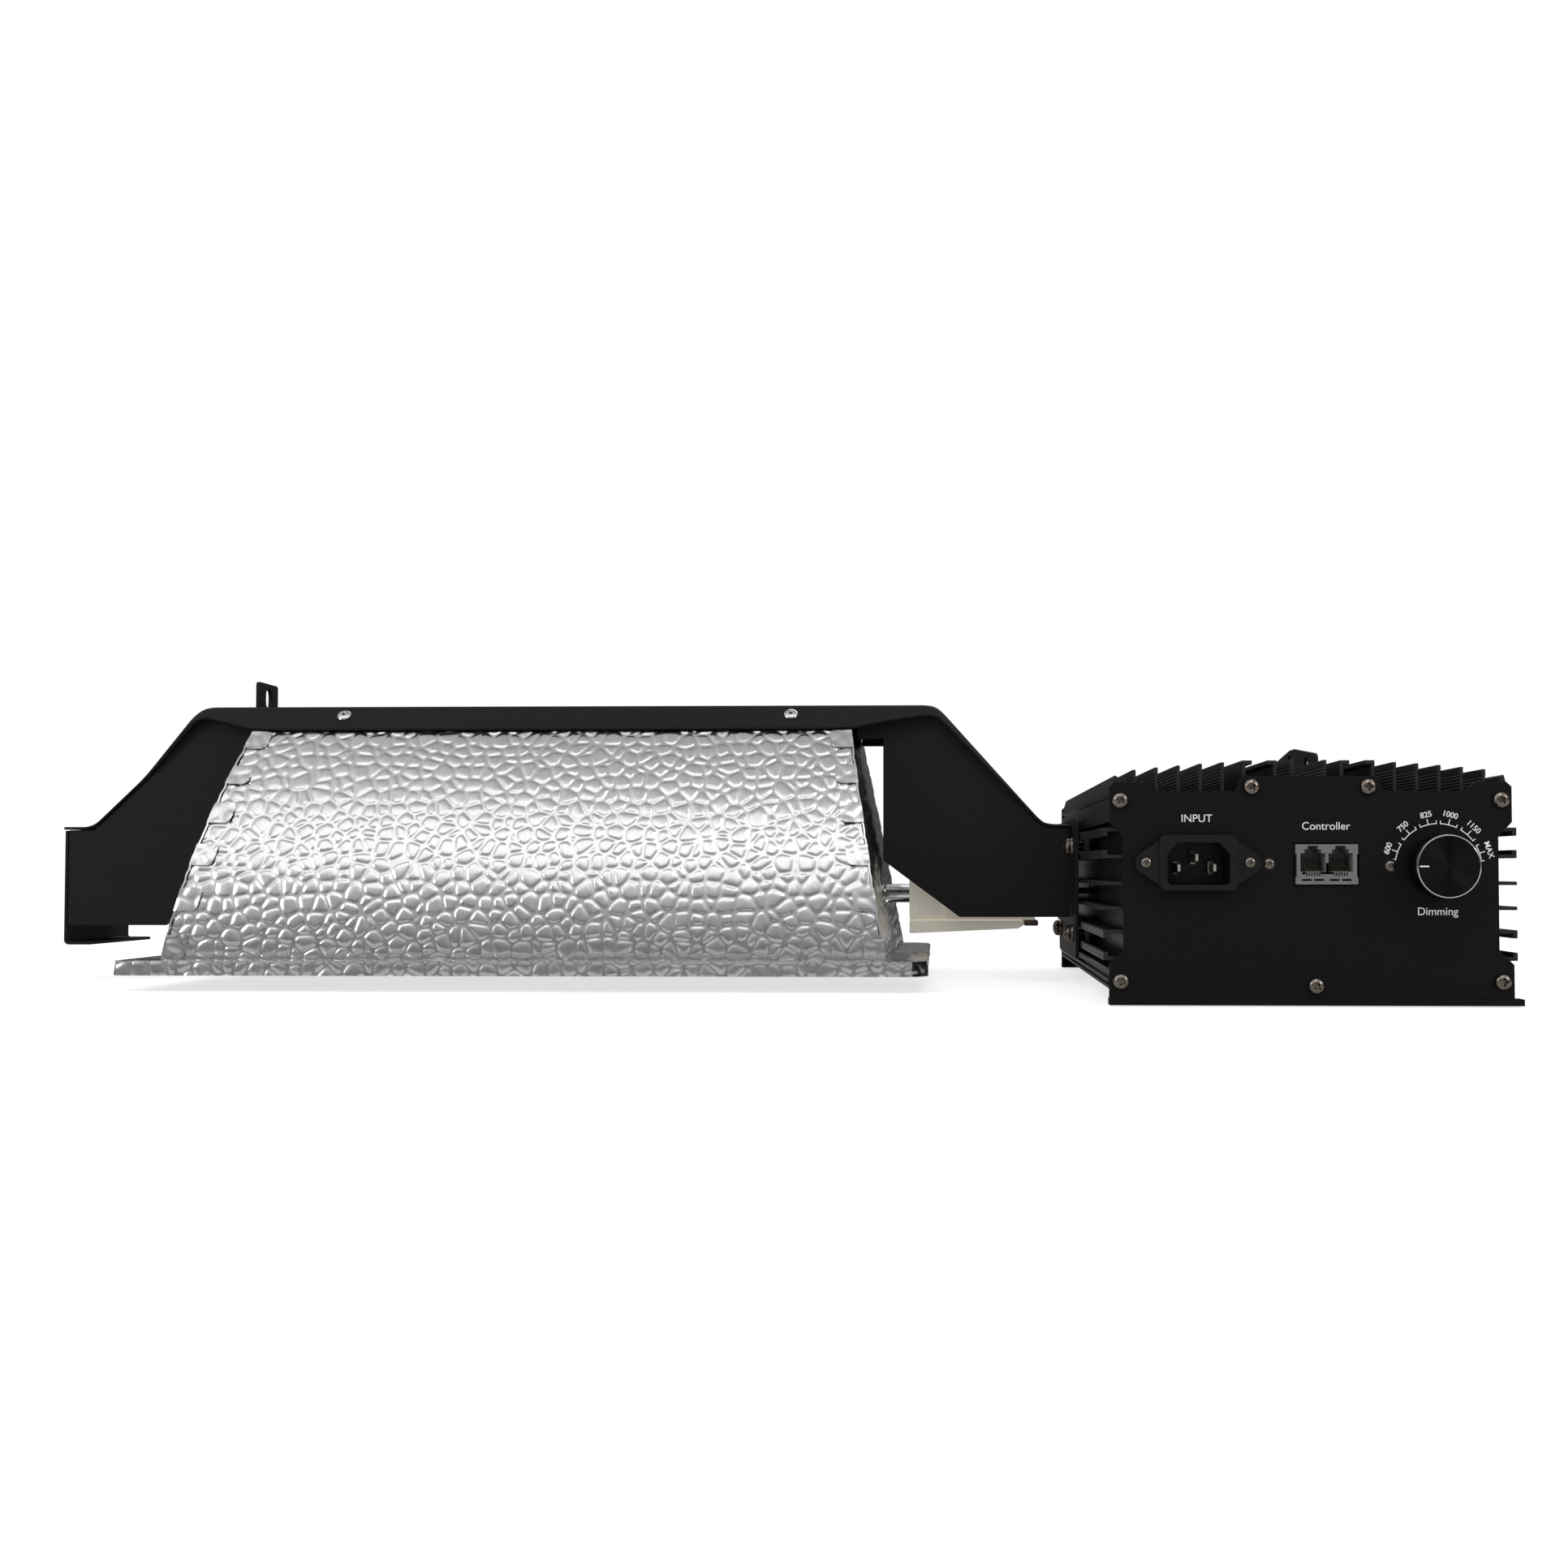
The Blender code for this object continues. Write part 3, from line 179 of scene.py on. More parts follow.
def hammered():
    """Bright aluminium with rolling lines and soft tarnish."""
    paint = Paint("hammered_aluminium", (0.8, 0.81, 0.82), 0.3, 1.0)
    lines = paint.noise(0.45, 5.0, (1.0, 30.0, 30.0), 0.6)
    haze = paint.noise(5.0, 5.0)
    brushed = paint.mix(lines, (0.7, 0.705, 0.71), (0.95, 0.955, 0.96))
    dull = paint.mix(lines, (0.62, 0.625, 0.63), (0.86, 0.865, 0.87))
    paint.colour(haze, dull, brushed)
    paint.rough(haze, 0.17, 0.25)
    paint.bump(lines, 0.03, 0.5)
    return paint.material


def plated():
    """Nickel-plated steel, slightly brown, with scuffs."""
    paint = Paint("plated_steel", (0.5, 0.45, 0.38), 0.2, 1.0)
    scuffs = paint.noise(0.5, 6.0, roughness=0.7)
    stain = paint.noise(1.6, 3.0)
    paint.colour(stain, (0.11, 0.088, 0.072), (0.43, 0.38, 0.325))
    paint.rough(scuffs, 0.12, 0.3)
    paint.bump(scuffs, 0.03, 0.5)
    return paint.material


def ceramic():
    """Unglazed cream steatite with faint pores, with a painted glow: a warm emission that brightens it where
    it sits in shade.
    """
    # The emission below is a painted glow that lifts the ceramic out of the shade under the bracket; the
    # ceramic is no lamp.
    paint = Paint("cream_ceramic", (0.78, 0.73, 0.63), 0.42, Subsurface_Weight=0.12,
                  Subsurface_Scale=0.002, Emission_Color=(1.0, 0.93, 0.8, 1.0), Emission_Strength=0.16)
    cloud = paint.noise(7.0, 5.0)
    pores = paint.spread(paint.noise(0.35, 2.0), 0.0, 1.0, 0.66, 0.74)
    body = paint.mix(cloud, (0.74, 0.69, 0.59), (0.84, 0.79, 0.69))
    paint.colour(pores, body, (0.5, 0.45, 0.38))
    paint.rough(cloud, 0.34, 0.52)
    paint.bump(paint.noise(0.5, 4.0), 0.04, 0.4)
    return paint.material


def quartz():
    """Clear quartz with faint drawing lines."""
    paint = Paint("quartz_glass", (0.97, 0.985, 0.99), 0.02, IOR=1.46, Transmission_Weight=1.0)
    lines = paint.noise(1.2, 2.0, (40.0, 1.0, 1.0))
    paint.colour(lines, (0.94, 0.96, 0.965), (1.0, 1.0, 1.0))
    paint.bump(lines, 0.05, 0.25)
    return paint.material


def speckled(name, dark, light, size, low, high, depth, metallic=0.0, **plain):
    """A plain finish with clouded colour, varied roughness and a fine surface."""
    paint = Paint(name, dark, high, metallic, **plain)
    cloud = paint.noise(size, 4.0)
    paint.colour(cloud, dark, light)
    paint.rough(cloud, low, high)
    paint.bump(paint.noise(size / 10, 2.0), depth, 0.5)
    return paint.material


def spun():
    """Turned face of the knob: black anodised, with the lathe's rings as an anisotropic gloss."""
    paint = Paint("black_knob", (0.02, 0.02, 0.021), 0.32, 1.0, Anisotropic=0.96)
    tangent = paint.node("Tangent", direction_type="RADIAL", axis="Z")
    paint.link(tangent.outputs["Tangent"], paint.shader.inputs["Tangent"])
    fleck = paint.noise(0.6, 5.0)
    paint.colour(fleck, (0.014, 0.014, 0.015), (0.026, 0.026, 0.027))
    paint.rough(fleck, 0.26, 0.34)
    return paint.material


LOOKS = {name: speckled(name, *values) for name, values in {
    # slot: (dark, light, size of the clouds, least and most roughness, depth of the surface)
    "white_alumina": ((0.8, 0.79, 0.75), (0.9, 0.89, 0.86), 3.0, 0.25, 0.4, 0.01),
    "brown_phenolic": ((0.07, 0.045, 0.035), (0.13, 0.085, 0.065), 2.0, 0.4, 0.6, 0.02),
    "grey_plastic": ((0.2, 0.2, 0.2), (0.26, 0.26, 0.262), 3.0, 0.38, 0.55, 0.02),
    "board_green": ((0.015, 0.1, 0.04), (0.03, 0.17, 0.07), 4.0, 0.3, 0.5, 0.02),
    "can_sleeve": ((0.02, 0.035, 0.12), (0.04, 0.06, 0.19), 5.0, 0.25, 0.4, 0.01),
    "core_grey": ((0.1, 0.1, 0.105), (0.2, 0.2, 0.21), 3.0, 0.5, 0.7, 0.05),
    "lead_silicone": ((0.55, 0.53, 0.48), (0.68, 0.66, 0.62), 3.0, 0.4, 0.6, 0.02),
}.items()}
LOOKS["black_plastic"] = speckled("black_plastic", (0.005, 0.005, 0.0052), (0.009, 0.009, 0.0093), 2.0,
                                  0.34, 0.5, 0.03, Specular_IOR_Level=0.35)
LOOKS["black_powder_coat"] = powder_coat("black_powder_coat", 0.028, 0.3)
LOOKS.update(black_anodised=anodised(), hammered_aluminium=hammered(), plated_steel=plated(),
             cream_ceramic=ceramic(), quartz_glass=quartz(), black_knob=spun())
# The plates wear the same black powder coat, made darker in its specks and less shiny: painted shade on the
# plates.
SHADED_PLATE_COAT = powder_coat("black_plate_coat_painted_shade", 0.014, 0.17)
# White print with a painted glow: its emission keeps the lettering, dial marks and pointer bright whatever
# light falls on them.
GLOWING_PRINT = speckled("white_print_painted_glow", (0.84, 0.84, 0.84), (0.93, 0.93, 0.93), 1.0, 0.45, 0.6, 0.005,
                 Emission_Color=(1.0, 1.0, 1.0, 1.0), Emission_Strength=0.16)
BLADE = speckled("blade_metal", (0.8, 0.76, 0.66), (0.95, 0.93, 0.88), 0.8, 0.2, 0.35, 0.005, 1.0)
GOLD = speckled("gold_contact", (0.75, 0.6, 0.3), (0.9, 0.78, 0.5), 0.6, 0.15, 0.3, 0.005, 1.0)
BRIGHT_EDGE = speckled("knob_edge", (0.78, 0.78, 0.79), (0.93, 0.93, 0.94), 1.5, 0.08, 0.2, 0.004, 1.0)


# ---------------- makers

def linked(name, data):
    """A new object in the scene."""
    obj = bpy.data.objects.new(name, data)
    bpy.context.scene.collection.objects.link(obj)
    return obj


def made_mesh(obj):
    """The mesh that a helper object makes, with its modifiers; the helper goes."""
    bpy.context.view_layer.update()
    mesh = bpy.data.meshes.new_from_object(obj.evaluated_get(bpy.context.evaluated_depsgraph_get()))
    bpy.data.objects.remove(obj)
    mesh.materials.clear()
    return mesh


def placed(name, mesh, matrix, node, material=None, replace=True):
    """Adds a finished piece, which rides with the CAD node it stands for and wears the material of that
    node's slot unless it is given another.
    """
    obj = linked(name, mesh)
    obj.matrix_world = matrix
    if not mesh.materials:
        mesh.materials.append(material or LOOKS[SLOTS[node]])
    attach(obj, "dimmer" if node in DIMMER_NODES else "fixture")
    if replace:
        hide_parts(node)
    return obj


def mesh_from(name, points, faces, smooth=40.0):
    """A mesh from points in millimetres, smooth where faces meet at less than the given angle."""
    mesh = bpy.data.meshes.new(name)
    mesh.from_pydata([tuple(c * MM for c in p) for p in points], [], faces)
    return shaded(mesh, smooth)


def shaded(mesh, smooth=40.0):
    """The mesh with its double points merged and its faces turned outwards."""
    work = bmesh.new()
    work.from_mesh(mesh)
    bmesh.ops.remove_doubles(work, verts=work.verts, dist=1e-7)
    bmesh.ops.recalc_face_normals(work, faces=work.faces)
    work.to_mesh(mesh)
    work.free()
    mesh.shade_smooth()
    mesh.set_sharp_from_angle(angle=math.radians(smooth))
    return mesh


def modify(obj, name, kind, **settings):
    modifier = obj.modifiers.new(name, kind)
    for key, value in settings.items():
        setattr(modifier, key, value)
    return obj


def soften(obj, width, segments=2, angle=32.0):
    """Rounds the edges where faces meet at more than an angle."""
    return modify(obj, "edges", "BEVEL", width=width * MM, segments=segments, limit_method="ANGLE",
                  angle_limit=math.radians(angle), use_clamp_overlap=True, harden_normals=True)


def refined(node, width, segments=2, material=None):
    """A CAD node's own shape with its flats whole again and its edges rounded."""
    mesh = NODES[node].data.copy()
    mesh.materials.clear()
    work = bmesh.new()
    work.from_mesh(mesh)
    bmesh.ops.remove_doubles(work, verts=work.verts, dist=2e-6)
    bmesh.ops.dissolve_limit(work, angle_limit=math.radians(1.0), verts=work.verts, edges=work.edges)
    work.to_mesh(mesh)
    work.free()
    mesh.shade_smooth()
    mesh.set_sharp_from_angle(angle=math.radians(30))
    obj = placed(node + "_fine", mesh, Matrix(), node, material)
    return soften(obj, width, segments) if width else obj


def circle(radius, count):
    turns = [2 * math.pi * i / count for i in range(count)]
    return [(radius * math.cos(turn), radius * math.sin(turn)) for turn in turns]


def rectangle(x0, y0, x1, y1):
    return [(x0, y0), (x1, y0), (x1, y1), (x0, y1)]


def prism(name, outlines, plane, start, end, smooth=35.0):
    """A mesh of outlines in the plane XY or XZ, extruded from start to end across it."""
    curve = bpy.data.curves.new(name, "CURVE")
    curve.dimensions = "2D"
    curve.fill_mode = "BOTH"
    curve.extrude = abs(end - start) * MM / 2
    for outline in outlines:
        spline = curve.splines.new("POLY")
        spline.points.add(len(outline) - 1)
        for point, (u, v) in zip(spline.points, outline):
            point.co = (u * MM, v * MM, 0.0, 1.0)
        spline.use_cyclic_u = True
    mesh = made_mesh(linked(name, curve))
    height = (start + end) / 2 * MM
    rows = {"XY": ((0, 1, 0, 0), (0, 0, 1, height)), "XZ": ((0, 0, -1, height), (0, 1, 0, 0))}
    mesh.transform(Matrix(((1, 0, 0, 0), *rows[plane], (0, 0, 0, 1))))
    return shaded(mesh, smooth)


def lathe(profile, steps=48, smooth=35.0, closed=False):
    """A mesh turned about Z from (radius, height) pairs that start and end on the axis, or
    that close a ring."""
    points = []
    rings = []
    for radius, height in profile:
        here = [(0.0, 0.0)] if radius == 0.0 else circle(radius, steps)
        rings.append(range(len(points), len(points) + len(here)))
        points += [(x, y, height) for x, y in here]
    if closed:
        rings.append(rings[0])
    faces = []
    for upper, lower in zip(rings, rings[1:]):
        for i in range(steps):
            j = (i + 1) % steps
            corners = [upper[i % len(upper)], upper[j % len(upper)]]
            corners += [lower[j % len(lower)], lower[i % len(lower)]]
            face = [c for k, c in enumerate(corners) if c != corners[k - 1]]
            if len(face) > 2:
                faces.append(face)
    return mesh_from("turned", points, faces, smooth)


def ring_lathe(section, steps=48, smooth=35.0):
    """A ring turned about Z from a closed section of (radius, height) pairs."""
    return lathe(section, steps, smooth, True)


def towards(place, direction):
    """Matrix that carries +Z to the direction, at a place in millimetres."""
    turn = Vector(direction).to_track_quat("Z", "Y").to_matrix().to_4x4()
    return Matrix.Translation(Vector(place) * MM) @ turn


def boolean_mesh(base, tool, operation="DIFFERENCE", smooth=30.0):
    """The base mesh cut or joined with the tool mesh by an exact Boolean."""
    first = linked("base", base)
    second = linked("tool", tool)
    modify(first, "cut", "BOOLEAN", operation=operation, object=second, solver="EXACT")
    result = made_mesh(first)
    bpy.data.objects.remove(second)
    result.shade_smooth()
    result.set_sharp_from_angle(angle=math.radians(smooth))
    return result


def joined(meshes, name):
    """Several meshes as one mesh."""
    work = bmesh.new()
    for mesh in meshes:
        work.from_mesh(mesh)
    result = bpy.data.meshes.new(name)
    work.to_mesh(result)
    work.free()
    return result


def box_mesh(low, high):
    """A block between two opposite corners."""
    (x0, y0, z0), (x1, y1, z1) = low, high
    points = [(x, y, z) for x in (x0, x1) for y in (y0, y1) for z in (z0, z1)]
    faces = [(0, 1, 3, 2), (4, 6, 7, 5), (0, 4, 5, 1), (2, 3, 7, 6), (0, 2, 6, 4), (1, 5, 7, 3)]
    return mesh_from("box", points, faces)


def wire_mesh(route, diameter):
    """A round wire along a smooth curve through the places of a route."""
    curve = bpy.data.curves.new("wire", "CURVE")
    curve.dimensions = "3D"
    curve.bevel_depth = diameter * MM / 2
    curve.bevel_resolution = 2
    curve.resolution_u = 12
    curve.use_fill_caps = True
    spline = curve.splines.new("BEZIER")
    spline.bezier_points.add(len(route) - 1)
    for point, place in zip(spline.bezier_points, route):
        point.co = Vector(place) * MM
        point.handle_left_type = "AUTO"
        point.handle_right_type = "AUTO"
    return shaded(made_mesh(linked("wire", curve)))


# ---------------- reflector

FOIL = 0.8  # thickness of the sheet
CELL = 6.7  # mean distance between pebbles
PERIOD = 97  # pebbles after which the pattern repeats
UNEVEN = 17.0  # how much pebbles differ in size
TILT = 0.04  # how much their tops lean
SCATTER = 0.82  # spread of a pebble's centre, as a share of CELL
CHANNEL = 0.3  # half width of the channels between pebbles
RIM = 0.95  # width of a pebble's rounded edge
LOW_RELIEF = -0.12  # bottom of the channels
RELIEF = 0.26  # height of a pebble without its crown
SHOULDER = 0.84  # share of it that the rounded edge rises to
CROWN = 0.15  # how much higher the middle is
CROWN_RUN = 3.0  # and the distance from the edge over which it rises
FADE = 1.2  # distance from a bend over which the relief sets in
LIP_FLARE = 0.09  # how far the lip leans out for each unit down
REF_Z = (12.9, 119.3)  # lowest and highest point of the curved side
REF_BASE = 13.3  # where the curve starts
REF_RISE = 106.0  # height over which it comes in by REF_INSET
REF_HALF = 86.0  # half width at the base
REF_INSET = 50.0
REF_TOP = 123.0
ROOF_SLOPE = 0.849  # run of the bend below the roof for each unit of rise
SEAM = 0.35  # gap beside a sheet
REACH = SEAM + FOIL  # how far an end sheet's face lies outside the sides
END_BASE = 84.85  # half width of an end sheet at its foot
END_TOP = (121.4, 30.0)  # height and half width at its top
FLANGE_Z = 12.9  # the flat rim, and the foot of its lip
LIP_Z = 6.6
FLANGE_HALF = 101.8
FLANGE_START = 85.4  # where the rim leaves the curved side
# For each end, with 1 for the ballast's: distance of the rim and of the sheet's foot from the
# lamp's middle, how far the sheet comes in over REF_RISE, and how far for each unit across.
FLANGE_END = {1: 176.2, -1: 177.0}
REF_END = {1: 159.2, -1: 162.0}
REF_LEAN = {1: 19.0, -1: 21.6}
REF_SKEW = {1: 0.026, -1: 0.0}
CHAMFER = 6.5  # cut corners of the rim at the ballast
NECK_HALF = 7.0  # half width of the slot for the lamp's neck
TAB_TOP = 117.0
TAB_STEPS = 11  # tabs and gaps along one side of an end sheet
TAB_LENGTH = 10.0
TAB_CORNER = 2.4


def ramp(value):
    value = np.clip(value, 0.0, 1.0)
    return value * value * (3 - 2 * value)


def pebbles(u, v, seed):
    """Relief in millimetres of a sheet stamped with rounded, close-set pebbles, at points u, v.

    Each patch adds its own offsets to its points, so that it shows another part of the pattern.
    """
    table = np.random.default_rng(seed).random((PERIOD, PERIOD, 5))
    column = np.floor(u / CELL).astype(int)
    row = np.floor(v / CELL).astype(int)
    spots = []
    for i in range(-2, 3):
        for j in range(-2, 3):
            draw = table[(column + i) % PERIOD, (row + j) % PERIOD]
            shift = 0.5 * ((row + j) % 2)
            cx = (column + i + shift + 0.5 + SCATTER * (draw[..., 0] - 0.5)) * CELL
            cy = (row + j + 0.5 + SCATTER * (draw[..., 1] - 0.5)) * CELL
            power = (u - cx) ** 2 + (v - cy) ** 2 - UNEVEN * draw[..., 2]
            spots.append((cx, cy, power, draw[..., 3] - 0.5, draw[..., 4] - 0.5))
    cx, cy, power, tilt_u, tilt_v = (np.stack(values) for values in zip(*spots))
    own = np.argmin(power, axis=0)[None]
    ox, oy, owned = (np.take_along_axis(a, own, 0)[0] for a in (cx, cy, power))
    apart = np.hypot(cx - ox, cy - oy)
    edge = np.where(apart > 1e-6, (power - owned) / (2 * np.maximum(apart, 1e-6)), 99.0)
    soft = 0.5
    inside = -soft * np.log(np.sum(np.exp(-edge / soft), axis=0))
    top = ramp((inside - CHANNEL) / RIM)
    lean_u, lean_v = (np.take_along_axis(a, own, 0)[0] for a in (tilt_u, tilt_v))
    lean = np.clip(TILT * (lean_u * (u - ox) + lean_v * (v - oy)), -0.05, 0.05)
    dome = CROWN * ramp(inside / CROWN_RUN)
    return LOW_RELIEF + np.clip(RELIEF * SHOULDER * top + (dome + lean) * top, 0.0, RELIEF + CROWN)


def half_width(z):
    """Half width of the curved sides at height z."""
    return REF_HALF - REF_INSET * ((z - REF_BASE) / REF_RISE) ** 1.8 if z > REF_BASE else REF_HALF


def end_reach(z, side, across=0.0):
    """How far an end of the reflector is from the lamp's middle; side is 1 at the ballast."""
    return REF_END[side] - REF_LEAN[side] * (z - REF_BASE) / REF_RISE + REF_SKEW[side] * across


def evenly(path, step):
    """Points of a polyline about step apart, and their distance along it."""
    path = np.array(path, float)
    runs = np.concatenate([[0.0], np.cumsum(np.hypot(*np.diff(path, axis=0).T))])
    count = max(int(round(runs[-1] / step)), 2)
    along = np.linspace(0.0, runs[-1], count + 1)
    return np.stack([np.interp(along, runs, path[:, k]) for k in (0, 1)], 1), along


def curve_line(step):
    """The curved side from the flange to the bend below the roof: points (half width, z), distances."""
    heights = np.linspace(*REF_Z, 500)
    return evenly([(half_width(z), z) for z in heights], step)


def outward(line):
    """Unit normals of a (half width, z) line, pointing away from the lamp."""
    slope = np.gradient(line, axis=0)
    normal = np.stack([slope[:, 1], -slope[:, 0]], 1)
    return normal / np.linalg.norm(normal, axis=1)[:, None]


def cells(grid):
    """The four corners of each cell of a grid of point numbers."""
    return np.stack([grid[:-1, :-1], grid[:-1, 1:], grid[1:, 1:], grid[1:, :-1]], -1)


class Foil:
    """Sheet metal gathered from patches; each patch is a closed shell between two grids of points."""

    def __init__(self):
        self.points = []
        self.faces = []

    def fine_patch(self, outer, inner):
        """A patch whose inner grid keeps every second point; both counts of steps are even."""
        inner = inner[::2, ::2]
        rows, columns = outer.shape[:2]
        base = len(self.points)
        upper = np.arange(rows * columns).reshape(rows, columns) + base
        lower = np.arange(inner.shape[0] * inner.shape[1]).reshape(inner.shape[:2]) + base + upper.size
        self.points += outer.reshape(-1, 3).tolist() + inner.reshape(-1, 3).tolist()
        for grid, turn in ((upper, 1), (lower, -1)):
            self.faces += cells(grid).reshape(-1, 4)[:, ::turn].tolist()
        borders = ((upper[0], lower[0]), (upper[:, -1], lower[:, -1]), (upper[-1][::-1], lower[-1][::-1]),
                   (upper[::-1, 0], lower[::-1, 0]))
        for fine, coarse in borders:
            wall = [fine[2::2], fine[1::2], fine[:-2:2], coarse[:-1], coarse[1:]]
            self.faces += np.stack(wall, -1).tolist()

    def patch(self, outer, inner, skip_column=None, weld_rows=()):
        """A patch that is open at skip_column, except that the slot is welded shut at weld_rows."""
        rows, columns = outer.shape[:2]
        count = rows * columns
        index = np.arange(count).reshape(rows, columns)
        for row in weld_rows:
            index[row, skip_column + 1] = index[row, skip_column]
        quads = cells(index)
        if skip_column is not None:
            quads = np.delete(quads, skip_column, axis=1)
        quads = quads.reshape(-1, 4)
        starts = quads.reshape(-1)
        ends = np.roll(quads, -1, axis=1).reshape(-1)
        lone = ~np.isin(starts * count + ends, ends * count + starts)
        rim = np.stack([ends, starts, starts + count, ends + count], 1)[lone]
        base = len(self.points)
        self.points += outer.reshape(-1, 3).tolist() + inner.reshape(-1, 3).tolist()
        self.faces += (np.concatenate([quads, quads[:, ::-1] + count, rim]) + base).tolist()

    def mesh(self, name):
        return mesh_from(name, self.points, self.faces, 50.0)


def stacked(x, y, z):
    """A grid of points in the row frame from coordinates about the lamp."""
    x, y, z = np.broadcast_arrays(x, y, z)
    return np.stack([LAMP_X + x, LAMP_Y + y, z], -1)


def sloped_patch(foil, x, line, side, seed, relief_low, offset=0.0, calm=1.0, fine=False):
    """A patch that follows a (half width, z) line, with a row of positions x for each of its points."""
    points, along = line
    normal = outward(points)
    height = np.maximum(pebbles(x + 700.0, along[:, None] + 300.0, seed), relief_low) * calm
    half = points[:, :1] + normal[:, :1] * (height + offset)
    level = points[:, 1:] + normal[:, 1:] * (height + offset)
    inner_half = half - normal[:, :1] * FOIL
    inner_level = level - normal[:, 1:] * FOIL
    add_patch = foil.fine_patch if fine else foil.patch
    add_patch(stacked(x, side * half, level), stacked(x, side * inner_half, inner_level))


def flange_patch(foil, x, half, side, seed):
    """A flat patch of the rim, stamped less deep; half holds distances from the lamp's plane."""
    height = pebbles(x + 50.0, half + 900.0, seed) * 0.7
    foil.patch(stacked(x, side * half, FLANGE_Z + height), stacked(x, side * half, FLANGE_Z + height - FOIL))


def lip_patch(foil, path, side, seed):
    """The lip turned down from the rim, along a path of (x, half width) points."""
    points, along = evenly(path, 0.6)
    normal = outward(points[:, ::-1])[:, ::-1]
    if np.sum(normal * (points - points.mean(0))) < 0:
        normal = -normal
    levels = np.linspace(FLANGE_Z + 0.15, LIP_Z, 11)[:, None]
    height = pebbles(along[None, :] + 0 * levels, levels + 40.0, seed) * 1.1
    height = height * ramp((FLANGE_Z - levels) / FADE) + LIP_FLARE * (FLANGE_Z - levels)
    outer = points[None] + normal[None] * height[..., None]
    inner = outer - normal[None] * FOIL
    foil.patch(stacked(outer[..., 0], side * outer[..., 1], levels),
               stacked(inner[..., 0], side * inner[..., 1], levels))


def even(length, step):
    """An even number of steps of about the given size."""
    return 2 * int(round(length / step / 2))


def reflector_side(node, side, seed, step):
    """A curved side with its half of the roof, its rim and the rim's lip."""
    foil = Foil()
    curved, along = curve_line(step)
    top_half = curved[-1, 0]
    roof = [curved[-1], (top_half - ROOF_SLOPE * (REF_TOP - REF_Z[1]), REF_TOP), (SEAM, REF_TOP)]
    upper, more = evenly(roof, 1.3)
    if (len(curved) + len(upper)) % 2 == 1:
        upper, more = evenly(roof, more[-1] / len(upper))
    points = np.concatenate([curved, upper[1:]])
    distances = np.concatenate([along, along[-1] + more[1:]])
    share = np.linspace(0.0, 1.0, even(2 * REF_END[1], step) + 1)[None, :]
    left, right = (np.array([end_reach(z, end, side * half) for half, z in points])[:, None]
                   for end in (-1, 1))
    calm = ramp(distances / 1.4)[:, None]
    x = share * (left + right) - left
    sloped_patch(foil, x, (points, distances), side, seed, LOW_RELIEF, calm=calm, fine=True)
    x = np.linspace(-FLANGE_END[-1], FLANGE_END[1], 560)[None, :]
    edge = np.minimum(FLANGE_HALF, FLANGE_HALF - CHAMFER + (FLANGE_END[1] - x))
    part = np.linspace(0.0, 1.0, 26)[:, None]
    across = FLANGE_START + part * (edge - FLANGE_START)
    flange_patch(foil, x + 0 * part, across, side, seed + 1)
    path = [(-FLANGE_END[-1], REF_HALF), (-FLANGE_END[-1], FLANGE_HALF),
            (FLANGE_END[1] - CHAMFER, FLANGE_HALF), (FLANGE_END[1], FLANGE_HALF - CHAMFER),
            (FLANGE_END[1], REF_HALF)]
    lip_patch(foil, path, side, seed + 2)
    placed(node + "_fine", foil.mesh(node + "_fine"), Matrix(), node)


def slot_edge(z):
    """Half width of the neck slot at height z."""
    if z <= LAMP_Z:
        return NECK_HALF
    rise = NECK_HALF ** 2 - (z - LAMP_Z) ** 2
    return math.sqrt(rise) if rise > 0 else 0.0


def end_edge(z):
    """Half width of an end sheet's face at height z."""
    if z < TAB_TOP:
        return half_width(z) + REACH if z > REF_BASE else END_BASE
    return np.interp(z, (TAB_TOP, END_TOP[0]), (half_width(TAB_TOP) + REACH, END_TOP[1]))


def reflector_end(node, side, seed):
    """An end sheet with the slot for the lamp's neck, its tabs, and its rim with the lip."""
    foil = Foil()
    levels = np.linspace(FLANGE_Z, END_TOP[0], 122)
    share = np.linspace(0.0, 1.0, 86)
    inner_edge = np.array([slot_edge(z) for z in levels])
    outer_edge = np.array([end_edge(z) for z in levels])
    right = inner_edge[:, None] + share[None, :] * (outer_edge - inner_edge)[:, None]
    across = np.concatenate([-right[:, ::-1], right], 1)
    z = levels[:, None]
    out = end_reach(z, side, across) + REACH
    lean = math.atan2(REF_LEAN[side], REF_RISE)
    height = pebbles(across + 500.0, z / math.cos(lean) + 200.0, seed)
    height = height * ramp((z - FLANGE_Z) / FADE)
    height = np.where(z > TAB_TOP, np.minimum(height, 0.1), height)
    x = side * (out + height * math.cos(lean))
    level = z + height * math.sin(lean)
    closed = [row for row, edge in enumerate(inner_edge) if edge == 0.0]
    foil.patch(stacked(x, across, level),
               stacked(x - side * FOIL * math.cos(lean), across, level - FOIL * math.sin(lean)),
               skip_column=len(share) - 1, weld_rows=closed)
    end_tabs(foil, side, seed)
    for sign in (-1, 1):
        part = np.linspace(0.0, 1.0, 17)[:, None]
        half = np.linspace(NECK_HALF, END_BASE, 86)[None, :]
        start = end_reach(FLANGE_Z, side, sign * half) + SEAM
        end = FLANGE_END[side]
        flange_patch(foil, side * (start + part * (end - start)) + 0 * half, half + 0 * part, sign, seed + 1)
        lip_patch(foil, [(side * end, NECK_HALF), (side * end, END_BASE)], sign, seed + 2)
    placed(node + "_fine", foil.mesh(node + "_fine"), Matrix(), node)


